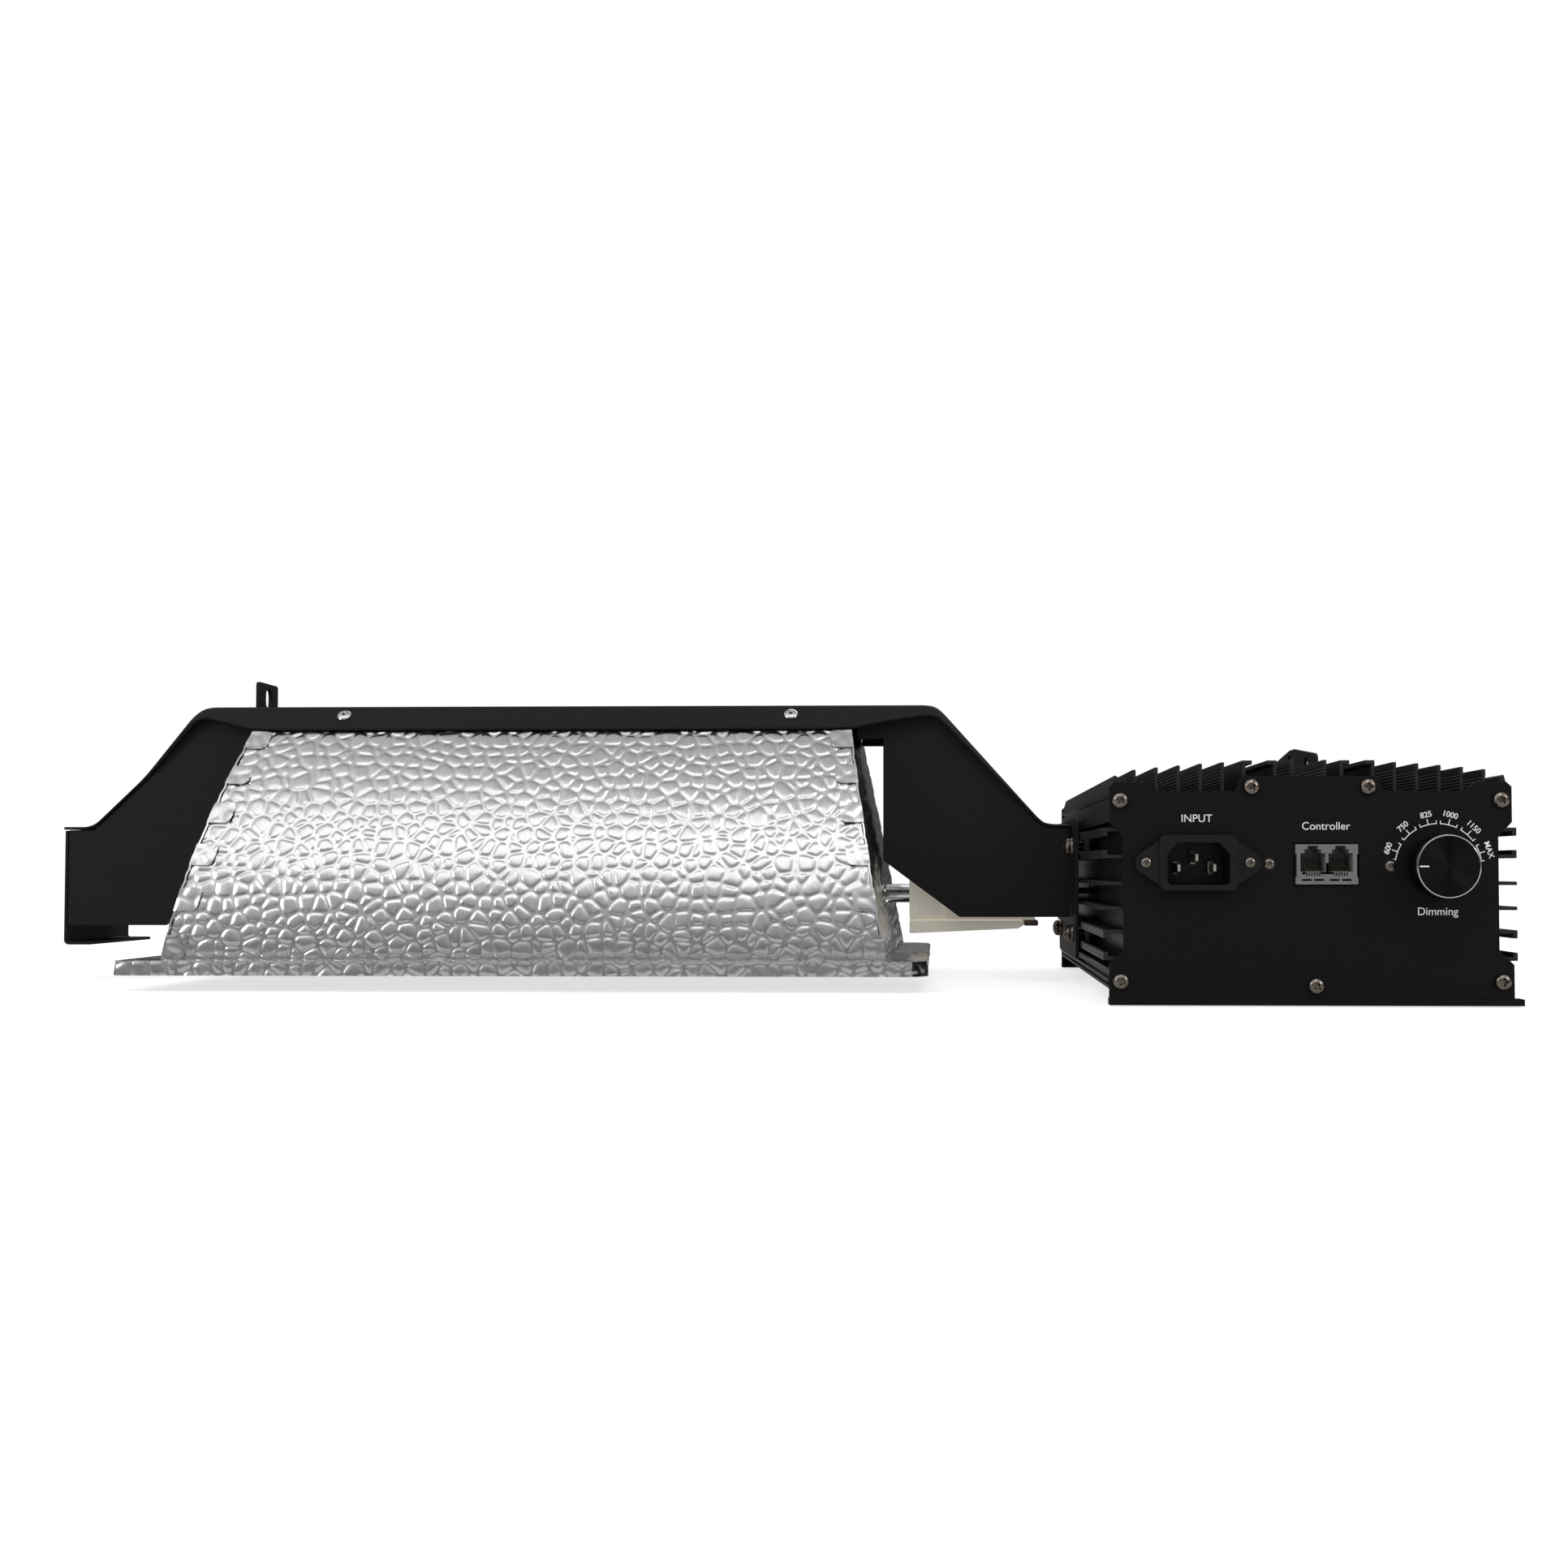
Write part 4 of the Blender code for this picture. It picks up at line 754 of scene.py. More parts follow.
def end_tabs(foil, side, seed):
    """Tabs folded from an end sheet over both curved sides, with rounded tips."""
    fine, along = curve_line(0.2)
    total = np.interp(TAB_TOP, fine[:, 1], along)
    for index in range(0, TAB_STEPS, 2):
        start, end = total * index / TAB_STEPS, total * (index + 1) / TAB_STEPS
        spots = np.linspace(start + 0.1, end - 0.1, 14)
        points = np.stack([np.interp(spots, along, fine[:, k]) for k in (0, 1)], 1)
        from_edge = np.minimum(spots - start, end - spots)
        short = np.clip(TAB_CORNER - from_edge, 0.0, TAB_CORNER)
        reach = TAB_LENGTH - TAB_CORNER + np.sqrt(TAB_CORNER ** 2 - short ** 2)
        back = np.linspace(-0.02, 1.0, 14)[None, :] * reach[:, None]
        for sign in (-1, 1):
            lengths = np.array([end_reach(z, side, sign * half) for half, z in points])[:, None]
            x = side * (lengths + REACH - back)
            sloped_patch(foil, x, (points, spots), sign, seed + 3, -0.02, offset=REACH)


# ---------------- frame

RAIL_TOP = 130.3
RAIL_HALF = 28.4  # half width of the rail's flat top
BAND_OUT = 10.6  # how far the slanted band beside it goes out and down
BAND_DROP = 11.3
RAIL_SHEET = 1.2  # thickness of the steel
RAIL_LINE = [
    # x, z, share of the band's full width
    (-322.0, 73.0, 0.0), (-308.4, 73.0, 0.0), (-283.0, 97.2, 0.06), (-259.5, 126.6, 0.36),
    (-253.5, RAIL_TOP, 0.42), (-240.0, RAIL_TOP, 0.72), (-226.0, RAIL_TOP, 1.0),
    (56.0, RAIL_TOP, 1.0), (72.0, RAIL_TOP, 0.7), (92.5, RAIL_TOP, 0.42), (97.0, 128.4, 0.36),
    (144.6, 75.4, 0.05), (148.5, 74.0, 0.0), (158.15, 74.0, 0.0),
]


def rounded_line(line, reach, steps=5):
    """A polyline whose corners are replaced by short curves that start reach before the corner."""
    line = [Vector(p) for p in line]
    result = [line[0]]
    for before, corner, after in zip(line, line[1:], line[2:]):
        first = corner + (before - corner) * min(reach / (before - corner).length, 0.45)
        last = corner + (after - corner) * min(reach / (after - corner).length, 0.45)
        for i in range(steps + 1):
            t = i / steps
            result.append(first * (1 - t) ** 2 + corner * 2 * t * (1 - t) + last * t ** 2)
    result.append(line[-1])
    return result


def top_rail():
    """The long rail over the lamp: a flat top with a slanted band on both sides."""
    points = []
    rows = rounded_line(RAIL_LINE, 5.0)
    bend = 1.6
    for x, z, flare in rows:
        out = max(BAND_OUT * flare, 0.35)
        drop = max(BAND_DROP * flare, 0.9)
        tip = Vector((RAIL_HALF + out, z - drop))
        fold = Vector((RAIL_HALF, z))
        before = fold - Vector((bend, 0.0))
        after = fold + (tip - fold) * min(bend / (tip - fold).length, 0.6)
        arc = [before * (1 - t) ** 2 + fold * 2 * t * (1 - t) + after * t ** 2 for t in (0, 0.33, 0.67, 1)]
        right = [Vector((0.0, z))] + arc + [tip]
        section = [(-p.x, p.y) for p in reversed(right[1:])] + [(p.x, p.y) for p in right]
        points += [(x, LAMP_Y + across, level) for across, level in section]
    wide = len(points) // len(rows)
    faces = [(r * wide + c, (r + 1) * wide + c, (r + 1) * wide + c + 1, r * wide + c + 1)
             for r in range(len(rows) - 1) for c in range(wide - 1)]
    mesh = mesh_from("top_rail_fine", points, faces, 50.0)
    if mesh.polygons[0].normal.z < 0:
        mesh.flip_normals()
    obj = placed("top_rail_fine", mesh, Matrix(), "top_rail")
    modify(obj, "sheet", "SOLIDIFY", thickness=RAIL_SHEET * MM, offset=-1.0, use_even_offset=True)
    soften(obj, 0.25, 2, 60.0)


def rivets():
    """Blind rivets on the bands: a domed head with the hole its mandrel broke off in, the hole closed by a
    black plug that is painted shade.
    """
    head = ring_lathe([(0.75, 0.0), (3.2, 0.0), (3.25, 0.25), (2.7, 0.75), (1.8, 1.05), (1.0, 1.1),
                       (0.8, 0.95), (0.75, 0.6)], 32)
    # A black plug in the hole is painted shade, standing for the dark inside of the hole.
    hole_shade = lathe([(0.0, 0.55), (0.74, 0.5), (0.74, 0.0), (0.0, 0.0)], 16)
    lean = math.atan2(BAND_OUT, BAND_DROP)
    down = 0.42  # how far down the band they sit
    for node in (n for n in NODES if n.startswith("rivet_")):
        sign = -1 if "front" in node else 1
        direction = (0.0, sign * math.cos(lean), math.sin(lean))
        spot = (middle(node, 0), LAMP_Y + sign * (RAIL_HALF + BAND_OUT * down), RAIL_TOP - BAND_DROP * down)
        place = towards([c + 0.2 * d for c, d in zip(spot, direction)], direction)
        placed(node + "_fine", head, place, node, BRIGHT_EDGE)
        placed(node + "_hole_shade", hole_shade, place, node, LOOKS["black_plastic"], False)


def mount_screws():
    """Domed screws with washers outside the plate, square nuts in the T-slots behind it."""
    dome = lathe([(0.0, 4.3), (1.3, 4.2), (2.6, 3.8), (3.5, 3.1), (3.95, 2.3), (3.9, 1.6), (3.3, 1.3),
                  (0.0, 1.3)], 40)
    cut = boolean_mesh(dome, cross(3.4, 0.8, 4.3, 1.4))
    flat = ring_lathe([(1.2, 0.0), (3.9, 0.0), (4.1, 0.2), (4.05, 0.81), (3.6, 1.35), (1.2, 1.35)], 40)
    nut = prism("nut", [rectangle(-4.0, -4.0, 4.0, 4.0), circle(1.9, 16)], "XY", -7.4, -5.2)
    shank = lathe([(0.0, 0.4), (2.1, 0.4), (2.1, -7.4), (0.0, -7.4)], 20)
    face = span("ballast_mount_plate", 0)[0] - 0.05
    for node in (n for n in NODES if n.startswith("mount_screw_")):
        mesh = shaded(joined([cut, flat, nut, shank], node + "_fine"), 30.0)
        place = (face, middle(node, 1), middle(node, 2))
        placed(node + "_fine", mesh, towards(place, (-1, 0, 0)), node)


# ---------------- screws

def cross(length, width, top, depth):
    """A tapered cross-shaped punch that reaches depth below the height top."""
    bars = []
    for turned in (False, True):
        u, v = (width, length) if turned else (length, width)
        outline = rectangle(-u / 2, -v / 2, u / 2, v / 2)
        upper = [(x, y, top + 1.0) for x, y in outline]
        lower = [(x * 0.45, y * 0.65, top - depth) for x, y in outline]
        faces = [(3, 2, 1, 0), (4, 5, 6, 7), (0, 1, 5, 4), (1, 2, 6, 5), (2, 3, 7, 6), (3, 0, 4, 7)]
        bars.append(mesh_from("bar", upper + lower, faces))
    return boolean_mesh(bars[0], bars[1], "UNION")


def pan_head(radius, height, recess, shank, length):
    """A Phillips pan-head screw about Z, its head standing on the plane z = 0."""
    profile = [(0.0, height), (radius * 0.45, height * 0.97), (radius * 0.75, height * 0.8),
               (radius * 0.93, height * 0.5), (radius, height * 0.2), (radius * 0.98, 0.0), (shank, 0.0),
               (shank, -length), (0.0, -length - 0.6)]
    return boolean_mesh(lathe(profile, 40), cross(recess, recess * 0.27, height, height * 0.8), smooth=32.0)


BOARD_SCREWS = (("left", 224.75, 54.8), ("right", 271.5, 54.0))  # name, x, z


def plate_screws():
    """Pan-head screws of both end plates, the inlet's two, and two short ones into the board."""
    big = pan_head(3.25, 2.1, 3.9, 1.25, 8.5)
    small = pan_head(2.15, 1.15, 2.7, 1.0, 6.0)
    tiny = pan_head(2.1, 0.9, 2.7, 1.0, 3.0)
    rng = np.random.default_rng(5)

    def set_screw(name, mesh, place, direction, node, replace=True):
        spin = Matrix.Rotation(math.radians(rng.uniform(0, 90)), 4, "Z")
        placed(name, mesh, towards(place, direction) @ spin, node, LOOKS["plated_steel"], replace)

    for node in sorted(n for n in NODES if n.startswith("plate_screw_")):
        x, z = middle(node, 0), middle(node, 2)
        set_screw(node + "_fine", big, (x, PLATE_Y - 0.15, z), (0, -1, 0), node)
        set_screw(node + "_rear", big, (x, REAR_Y + 0.15, z), (0, 1, 0), node, False)
    for node in ("inlet_screw_left", "inlet_screw_right"):
        place = (middle(node, 0), PLATE_Y - INLET_FLANGE, middle(node, 2))
        set_screw(node + "_fine", small, place, (0, -1, 0), node)
    collar = ring_lathe([(2.15, 0.0), (2.9, 0.0), (2.85, 0.22), (2.2, 0.22)], 32)
    for name, x, z in BOARD_SCREWS:
        set_screw("board_screw_" + name, tiny, (x, PLATE_Y, z), (0, -1, 0), "plate_screw_top_left", False)
        placed("board_collar_" + name, collar, towards((x, PLATE_Y, z), (0, -1, 0)), "front_plate",
               LOOKS["black_plastic"], False)


# ---------------- ballast

LEAD_Z = 42.4  # height of the hole for the lamp's leads
FIN = 1.4  # thickness of a fin
FIN_ROOT = 80.0
FIN_CROWN = 95.5  # height of the fins in the middle
FIN_DROOP = 8.3e-4  # loss of height for each squared unit from the middle
TOOTH_PITCH = 1.2
TOOTH = 0.22


def ribbed_fin(x):
    """A top fin whose faces are ribbed below its plain tip."""
    tip = FIN_CROWN - FIN_DROOP * x * x
    half = FIN / 2
    side = [(half, tip), (half, tip - 2.7)]
    level = tip - 2.95
    while level > FIN_ROOT + 1.2:
        side += [(half - TOOTH, level), (half, level - TOOTH_PITCH * 0.5)]
        level -= TOOTH_PITCH
    side.append((half, FIN_ROOT))
    return [(x - u, z) for u, z in reversed(side)] + [(x + u, z) for u, z in side]


def top_slot():
    """The screw slot and the boss between the middle fins and the outer ones."""
    tip = FIN_CROWN - 0.2
    lip = 1.6
    boss = 88.4
    return [(12.2, FIN_ROOT), (12.2, tip), (15.95, tip), (15.95, tip - lip), (13.6, tip - lip),
            (13.6, FIN_ROOT), (19.2, FIN_ROOT), (19.2, boss), (24.3, boss), (24.3, tip - lip),
            (21.8, tip - lip), (21.8, tip), (25.7, tip), (25.7, FIN_ROOT)]


def side_slot(z):
    """A T-slot of the side wall around height z."""
    wall, out, slot_half, mouth, lip = 71.0, 80.0, 5.95, 2.75, 1.8
    upper = [(wall, slot_half), (out, slot_half), (out, mouth), (out - lip, mouth),
             (out - lip, slot_half - FIN), (wall, slot_half - FIN)]
    return [(x, z + h) for x, h in upper + [(x, -h) for x, h in reversed(upper)]]


def mirrored(half, middle_x, base=0.0):
    """A closed outline from its right half, given from a middle and a base."""
    right = [(middle_x + x, base + z) for x, z in half]
    return right + [(middle_x - x, base + z) for x, z in reversed(half)]


def housing():
    """The extruded case: its right half is a row of fins, the top corner, slots and the foot."""
    half = ribbed_fin(6.4) + top_slot()
    for i in range(5):
        half += ribbed_fin(33.3 + 8.6 * i)
    half += [(69.6, 80.0), (70.6, 82.4), (73.4, 83.0), (74.0, 88.9), (75.3, 89.6), (77.3, 82.8),
             (77.3, 81.4), (76.4, 80.9), (76.4, 80.3), (77.6, 79.8), (77.6, 73.0), (76.4, 71.6),
             (71.0, 71.6)]
    half += side_slot(63.0)
    for z in (47.3, 37.6):
        half += [(71.0, z + 0.7), (80.0, z + 0.7), (80.0, z - 0.7), (71.0, z - 0.7)]
    half += side_slot(23.2)
    half += [(71.0, 13.6), (77.0, 13.6), (77.0, 10.6), (78.3, 10.2), (78.3, 8.6), (76.6, 8.3),
             (76.6, 7.7), (77.9, 7.4), (77.9, 6.1), (68.5, 6.1), (68.5, 77.0)]
    mesh = prism("housing", [mirrored(half, BOX_X)], "XZ", *HOUSING_Y, smooth=25.0)
    lead = lathe([(0.0, 8.0), (4.0, 8.0), (4.0, -8.0), (0.0, -8.0)], 24)
    lead.transform(towards((BOX_X - 71.0, LAMP_Y, LEAD_Z), (1, 0, 0)))
    mesh = boolean_mesh(mesh, lead, smooth=25.0)
    obj = placed("ballast_housing_fine", mesh, Matrix(), "ballast_housing")
    soften(obj, 0.16, 1, 50.0)
    grommet = ring_lathe([(2.0, -0.6), (4.6, -0.6), (4.6, 0.5), (3.8, 1.0), (2.0, 1.0)], 24)
    placed("lead_grommet", grommet, towards((158.4, LAMP_Y, LEAD_Z), (-1, 0, 0)), "ballast_mount_plate",
           LOOKS["black_plastic"], False)


INLET_FLANGE = 2.85  # how far the inlet's flange stands out from the plate
BLADE_LENGTH = 12.4


def inlet():
    """Eared flange, raised mouth, and blades with thin chamfered tips."""
    soften(refined("inlet_body", 0.0), 0.45, 3, 40.0)
    narrow = rectangle(-0.5, -1.3, 0.5, 1.3)[::-1]
    wide = rectangle(-1.0, -2.5, 1.0, 2.5)[::-1]
    for node in ("inlet_blade_earth", "inlet_blade_left", "inlet_blade_right"):
        x, z = middle(node, 0), middle(node, 2)
        tip = span(node, 1)[0]
        root = tip + BLADE_LENGTH
        rows = [(tip, 0.0), (tip + 0.7, 0.45), (root - 1.4, 0.5), (root - 1.2, 1.0), (root, 1.0)]
        points = [(x + u0 + (u1 - u0) * share, y, z + v0 + (v1 - v0) * share)
                  for y, share in rows for (u0, v0), (u1, v1) in zip(narrow, wide)]
        faces = [(0, 1, 2, 3), tuple(range(4 * len(rows) - 1, 4 * len(rows) - 5, -1))]
        for row in range(len(rows) - 1):
            for k in range(4):
                n = (k + 1) % 4
                faces.append((4 * row + k, 4 * row + n, 4 * row + 4 + n, 4 * row + 4 + k))
        placed(node + "_fine", mesh_from(node + "_fine", points, faces, 25.0), Matrix(), node, BLADE)


WELLS = ((-5.4, 9.6), (5.25, 9.3))  # each socket's place across the block, and its width
CONTACT_PITCH = 0.98


def ports():
    """Twin modular socket: stepped wells, a comb of contact slots under each, and drain slots."""
    front, back = span("port_block", 1)
    top = PORT_Z + 15.6 / 2
    side = 24.05 / 2
    half = [(side, 0.0), (side, -3.9), (side - 0.45, -4.1)]
    half += [(side - 0.45, -12.6), (side, -12.8), (side, -15.6)]
    outlines = [mirrored(half, PORT_X, top)]
    pins = []
    for offset, wide in WELLS:
        x = PORT_X + offset
        well = [(2.0, -0.6), (2.0, -2.0), (3.2, -2.0), (3.2, -3.5), (wide / 2, -3.5), (wide / 2, -10.6)]
        outlines.append(mirrored(well, x, top))
        for i in range(6):
            slot = x + (i - 2.5) * CONTACT_PITCH
            outlines.append(rectangle(slot - 0.27, top - 12.3, slot + 0.27, top - 10.9))
            pins.append(wire_mesh([(slot, front + 0.9, top - 11.9), (slot, front + 1.1, top - 10.9),
                                   (slot, front + 3.5, top - 9.0), (slot, front + 9.0, top - 5.5)], 0.36))
        for shift in (-2.35, 2.35):
            outlines.append(rectangle(x + shift - 1.85, top - 14.2, x + shift + 1.85, top - 13.5))
    face = prism("port_face", outlines, "XZ", front, back - 3.0)
    rear = box_mesh((PORT_X - side + 0.5, back - 3.05, top - 15.5), (PORT_X + side - 0.5, back, top - 0.1))
    obj = placed("port_block_fine", joined([face, rear], "port_block_fine"), Matrix(), "port_block")
    soften(obj, 0.16, 2, 50.0)
    placed("port_contacts", joined(pins, "port_contacts"), Matrix(), "port_block", GOLD, False)


def knob():
    """Turned knob with a bright bevelled edge and a pointer line; its own axis is Z."""
    front, back = span("dimmer_knob", 1)
    tall = back - front
    matrix = towards((KNOB_X, back, KNOB_Z), (0, -1, 0))
    body = lathe([(0.0, tall - 0.12), (11.2, tall - 0.12), (11.25, tall - 0.02), (11.6, tall - 0.02),
                  (12.1, tall - 0.75), (12.1, tall - 1.0), (12.22, tall - 1.1), (12.22, 1.4), (12.0, 1.2),
                  (12.0, 0.9), (12.2, 0.7), (12.2, 0.2), (12.0, 0.0), (6.4, 0.0), (6.4, 4.0), (3.3, 4.0),
                  (3.3, 11.0), (0.0, 11.0)], 128, 30.0)
    placed("dimmer_knob_fine", body, matrix, "dimmer_knob")
    ring = ring_lathe([(11.62, tall - 0.05), (11.66, tall), (12.0, tall - 0.1), (12.28, tall - 0.55),
                       (12.28, tall - 0.95), (12.0, tall - 1.0)], 128, 40.0)
    placed("dimmer_knob_edge", ring, matrix, "dimmer_knob", BRIGHT_EDGE, False)
    low = (KNOB_X - 11.1, front - 0.02, KNOB_Z - 0.28)
    high = (KNOB_X - 7.6, front + 0.3, KNOB_Z + 0.28)
    placed("dimmer_knob_pointer", box_mesh(low, high), Matrix(), "dimmer_knob", GLOWING_PRINT, False)


# ---------------- print

PRINT_Y = PLATE_Y - 0.05
WORD_SIZE = 4.3


def lettering(name, text, size, x, z, angle=0.0, bold=0.0):
    """Printed characters centred on a point of the front plate, turned by an angle in degrees."""
    curve = bpy.data.curves.new(name, "FONT")
    curve.body = text
    curve.size = size * MM
    curve.offset = bold * MM
    curve.extrude = 0.03 * MM
    curve.align_x = "CENTER"
    curve.align_y = "CENTER"
    mesh = made_mesh(linked(name, curve))
    low, high = (Vector([pick(v.co[k] for v in mesh.vertices) for k in range(3)]) for pick in (min, max))
    mesh.transform(Matrix.Translation(-(low + high) / 2))
    turn = Matrix.Rotation(math.radians(90), 4, "X") @ Matrix.Rotation(math.radians(angle), 4, "Z")
    matrix = Matrix.Translation(Vector((x, PRINT_Y, z)) * MM) @ turn
    placed(name, mesh, matrix, "front_plate", GLOWING_PRINT, False)


def stroke(a, b, width):
    """Outline of a straight printed line from a to b, in the plane of the plate."""
    a, b = Vector(a), Vector(b)
    side = (b - a).orthogonal().normalized() * width / 2
    return [tuple(a + side), tuple(b + side), tuple(b - side), tuple(a - side)]


def dial_marks():
    """A bracket with a stem at each setting of the dimmer, and its value outside."""
    radius, half_span, width = 16.6, 10.8, 0.36
    label_radius, label_size = 20.6, 3.1
    settings = ((160, "600"), (131, "750"), (103, "825"), (76, "1000"), (47.5, "1150"), (18, "MAX"))
    meshes = []

    def at(angle, r):
        a = math.radians(angle)
        return KNOB_X + r * math.cos(a), KNOB_Z + r * math.sin(a)

    for angle, label in settings:
        ends = [angle - half_span + 2 * half_span * i / 10 for i in range(11)]
        inner = [at(a, radius - width / 2) for a in ends]
        outer = [at(a, radius + width / 2) for a in reversed(ends)]
        bars = [inner + outer]
        for a in (angle - half_span, angle + half_span):
            bars.append(stroke(at(a, radius - width / 2), at(a, radius + 1.2), width))
        bars.append(stroke(at(angle, radius), at(angle, radius + 2.2), width))
        meshes += [prism("bar", [bar], "XZ", PRINT_Y - 0.03, PRINT_Y + 0.03) for bar in bars]
        x, z = at(angle, label_radius)
        lettering("dial_" + label, label, label_size, x, z, angle - 90, 0.045)
    placed("dial_marks", joined(meshes, "dial_marks"), Matrix(), "front_plate", GLOWING_PRINT, False)


def words():
    """A generic word at the inlet, the sockets and the dial."""
    lettering("word_input", "INPUT", WORD_SIZE, INLET_X, 72.6)
    lettering("word_controller", "Controller", WORD_SIZE, PORT_X, 69.6)
    lettering("word_dimming", "Dimming", WORD_SIZE, KNOB_X - 0.3, 36.0)


# ---------------- lamp

def along_lamp(mesh, side=1):
    """Lays a turned mesh along the lamp, its top towards the side 1 or -1."""
    mesh.transform(towards((LAMP_X, LAMP_Y, LAMP_Z), (side, 0, 0)))
    return mesh


def blown(points):
    """A section with its corners rounded, for blown glass."""
    return [tuple(p) for p in rounded_line(points, 4.0, 6)]


def lamp():
    """The outer bulb, the arc tube in it, the wires between them and the fittings of both ends."""
    outer = blown([(4.5, 188.0), (4.5, 141.0), (6.0, 135.0), (10.5, 129.0), (14.6, 123.0),
                   (16.0, 114.0), (16.0, 0.0)])
    inner = blown([(14.8, 0.0), (14.8, 112.0), (13.4, 120.0), (9.0, 126.0), (1.2, 138.0), (1.2, 188.0)])
    section = outer + [(r, -h) for r, h in reversed(outer[:-1])]
    section += [(r, -h) for r, h in reversed(inner[1:])] + inner
    placed("lamp_bulb_fine", along_lamp(ring_lathe(section, 64, 40.0)), Matrix(), "lamp_bulb")
    tube = [(0.0, 92.0), (2.2, 92.0), (2.2, 80.5), (3.2, 79.6), (3.4, 77.4), (5.2, 77.0), (5.6, 76.2)]
    tube += [(r, -h) for r, h in reversed(tube)]
    placed("arc_tube_fine", along_lamp(lathe(tube, 48, 40.0)), Matrix(), "arc_tube")
    frame_wires()
    for end in ("left", "right"):
        refined("lamp_contact_" + end, 0.2)
        refined("lamp_spring_" + end, 0.25)


def frame_wires():
    """Wire that carries the arc tube inside the outer bulb, with a strap and a disc at each end."""
    run = ((-134, 0.8), (-124, 4.0), (-116, 9.5), (-60, 10.2), (0, 10.2), (60, 10.2), (98, 9.5),
           (108, 5.0), (112, 0.6))
    link = ((-85.5, 2.8), (-85.5, 10.0))
    meshes = [wire_mesh([(LAMP_X + x, LAMP_Y, LAMP_Z + z) for x, z in route], thick)
              for route, thick in ((run, 1.1), (link, 0.8))]
    for side in (-1, 1):
        strap = ring_lathe([(2.4, 84.0), (3.1, 84.0), (3.1, 87.0), (2.4, 87.0)], 24)
        disc = lathe([(0.0, 118.0), (5.0, 118.2), (9.0, 117.4), (9.0, 117.0), (0.0, 117.4)], 32)
        meshes += [along_lamp(strap, side), along_lamp(disc, side)]
    placed("lamp_frame_wires", joined(meshes, "lamp_frame_wires"), Matrix(), "arc_tube",
           LOOKS["plated_steel"], False)


# ---------------- set

# sine of the elevation, and the room's brightness there
GLOW = ((0.0, 0.07), (0.12, 0.18), (0.28, 0.32), (0.48, 0.42), (0.76, 0.74), (1.0, 0.46))
BEHIND = 0.5  # the room's brightness behind the lamp, as a share of that in front


def flat_light(name, place, target, size, power):
    light = bpy.data.lights.new(name, "AREA")
    light.shape = "RECTANGLE"
    light.size, light.size_y = size
    light.energy = power
    obj = linked(name, light)
    obj.location = place
    aim = Vector(target) - Vector(place)
    obj.rotation_euler = aim.to_track_quat("-Z", "Y").to_euler()


def camera_ray_mix(graph, seen, unseen, output):
    """Links a shader that camera rays see, and another for every other ray."""
    mix = graph.node("MixShader")
    graph.link(graph.node("LightPath").outputs["Is Camera Ray"], mix.inputs["Fac"])
    graph.link(unseen, mix.inputs[1])
    graph.link(seen, mix.inputs[2])
    graph.link(mix.outputs["Shader"], graph.node(output).inputs["Surface"])


def studio_glow(graph):
    """Soft light of the room: GLOW by height, dimmed to the share BEHIND at the back."""
    split = graph.node("SeparateXYZ")
    graph.link(graph.node("TexCoord").outputs["Generated"], split.inputs["Vector"])
    levels = graph.node("ValToRGB")
    graph.link(split.outputs["Z"], levels.inputs["Fac"])
    stops = levels.color_ramp
    stops.interpolation = "EASE"
    for height, glow in GLOW[1:-1]:
        stops.elements.new(height)
    for element, (height, glow) in zip(stops.elements, GLOW):
        element.position = height
        element.color = (glow, glow, glow * 1.01, 1.0)
    depth = graph.node("MapRange", {"From Min": -0.25, "From Max": 0.35, "To Min": 1.0, "To Max": BEHIND},
                       interpolation_type="SMOOTHSTEP")
    graph.link(split.outputs["Y"], depth.inputs["Value"])
    scaled = graph.node("VectorMath", operation="SCALE")
    graph.link(levels.outputs["Color"], scaled.inputs[0])
    graph.link(depth.outputs["Result"], scaled.inputs["Scale"])
    return scaled.outputs["Vector"]


def backdrop():
    """A white backdrop for the camera, and the room's soft light for everything else."""
    world = bpy.data.worlds.new("studio")
    bpy.context.scene.world = world
    graph = Graph(world)
    graph.tree.nodes.clear()
    seen = graph.node("Background", {"Color": (1.0, 1.0, 1.0, 1.0)})
    around = graph.node("Background")
    graph.link(studio_glow(graph), around.inputs["Color"])
    camera_ray_mix(graph, seen.outputs[0], around.outputs[0], "OutputWorld")


def floor():
    """A pale matte floor that looks nearly as white as the backdrop."""
    half = 6.0
    mesh = bpy.data.meshes.new("floor")
    mesh.from_pydata([(x, y, 0) for x, y in rectangle(-half, -half, half, half)], [], [(0, 1, 2, 3)])
    obj = linked("floor", mesh)
    obj.location.z = -0.0006
    material = bpy.data.materials.new("pale_floor")
    graph = Graph(material)
    graph.tree.nodes.clear()
    matte = graph.node("BsdfDiffuse", {"Color": (0.78, 0.78, 0.78, 1.0)})
    glow = graph.node("Emission", {"Strength": 0.72})
    both = graph.node("AddShader")
    graph.link(matte.outputs[0], both.inputs[0])
    graph.link(glow.outputs[0], both.inputs[1])
    camera_ray_mix(graph, both.outputs[0], matte.outputs[0], "OutputMaterial")
    mesh.materials.append(material)


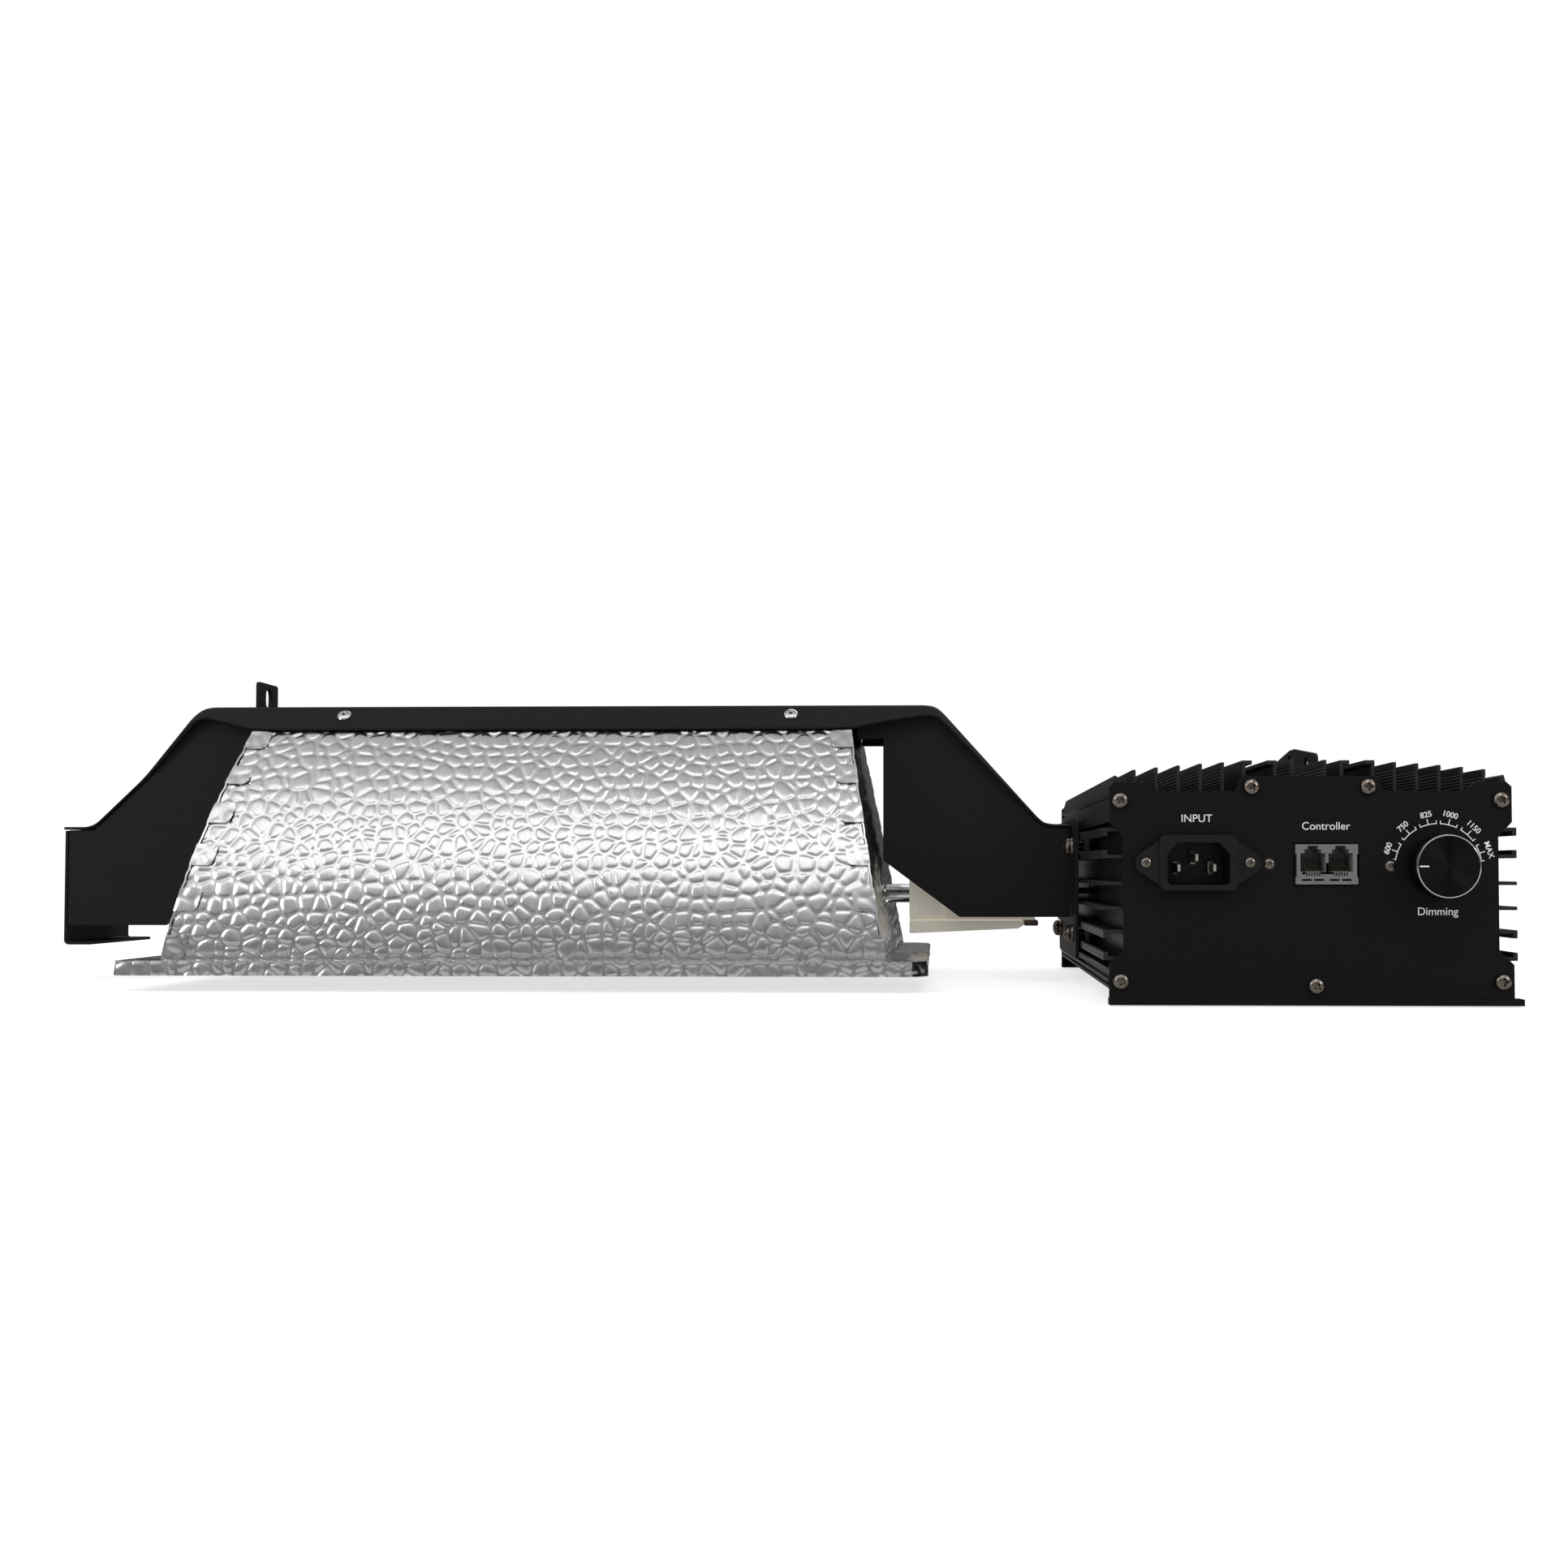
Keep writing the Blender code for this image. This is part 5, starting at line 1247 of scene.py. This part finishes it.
def camera():
    """The picture's view."""
    data = bpy.data.cameras.new("camera")
    data.lens = 40.77
    data.shift_x = -0.0589
    data.shift_y = 0.0146
    data.clip_start = 0.01
    obj = linked("camera", data)
    obj.location = (0.0963, -0.8233, 0.0529)
    obj.rotation_euler = (math.radians(92.0), 0.0, math.radians(2.0))
    bpy.context.scene.camera = obj


def lights():
    flat_light("key", (-0.4, -1.1, 1.35), (-0.05, 0.0, 0.05), (1.2, 0.7), 1.6)
    flat_light("left", (-1.25, -1.0, 0.7), (0.0, 0.0, 0.05), (0.4, 0.6), 3.2)
    flat_light("right", (1.35, -0.9, 0.7), (0.0, 0.0, 0.05), (0.4, 0.6), 3.2)
    flat_light("spark", (0.3, -0.75, 1.2), (0.2, -0.1, 0.05), (0.14, 0.14), 0.9)
    flat_light("back", (0.3, 1.2, 1.2), (0.0, 0.0, 0.05), (1.2, 0.6), 3.0)


# ---------------- assembly

REFINED = (
    # width of the edge rounding, segments, nodes
    (0.4, 2, "left_bracket right_bracket left_end_plate"),
    (0.35, 2, "ballast_mount_plate hanger_tab ballast_hanger"),
    (0.25, 2, "hanger_bolt_front hanger_bolt_rear"),
    (0.35, 2, "front_plate rear_plate"),
    (0.3, 1, "base_plate"),
    (0.7, 3, "lampholder_left lampholder_right"),
    (0.6, 3, "lampholder_cover_left lampholder_cover_right"),
    (0.4, 2, "terminal_left terminal_right"),
    (0.15, 1, "power_board"),
    (0.8, 2, "choke_coil"),
    (0.6, 2, "capacitor"),
    (0.5, 2, "dimmer_switch"),
    (0.25, 2, "dimmer_shaft"),
    (0.0, 1, "lamp_lead_left lamp_lead_right"),
)


def assemble():
    """Every piece of the lamp."""
    for width, segments, nodes in REFINED:
        for node in nodes.split():
            # The front and rear plates take the darker copy of the powder coat, which is painted shade.
            coat = SHADED_PLATE_COAT if node in ("front_plate", "rear_plate") else None
            refined(node, width, segments, coat)
    top_rail()
    mount_screws()
    plate_screws()
    rivets()
    reflector_side("reflector_front", -1, 11, 0.5)
    reflector_side("reflector_back", 1, 23, 0.66)
    reflector_end("reflector_end_left", -1, 37)
    reflector_end("reflector_end_right", 1, 41)
    housing()
    inlet()
    ports()
    knob()
    dial_marks()
    words()
    lamp()


assemble()
backdrop()
floor()
camera()
lights()
bpy.context.scene.view_settings.view_transform = "Standard"
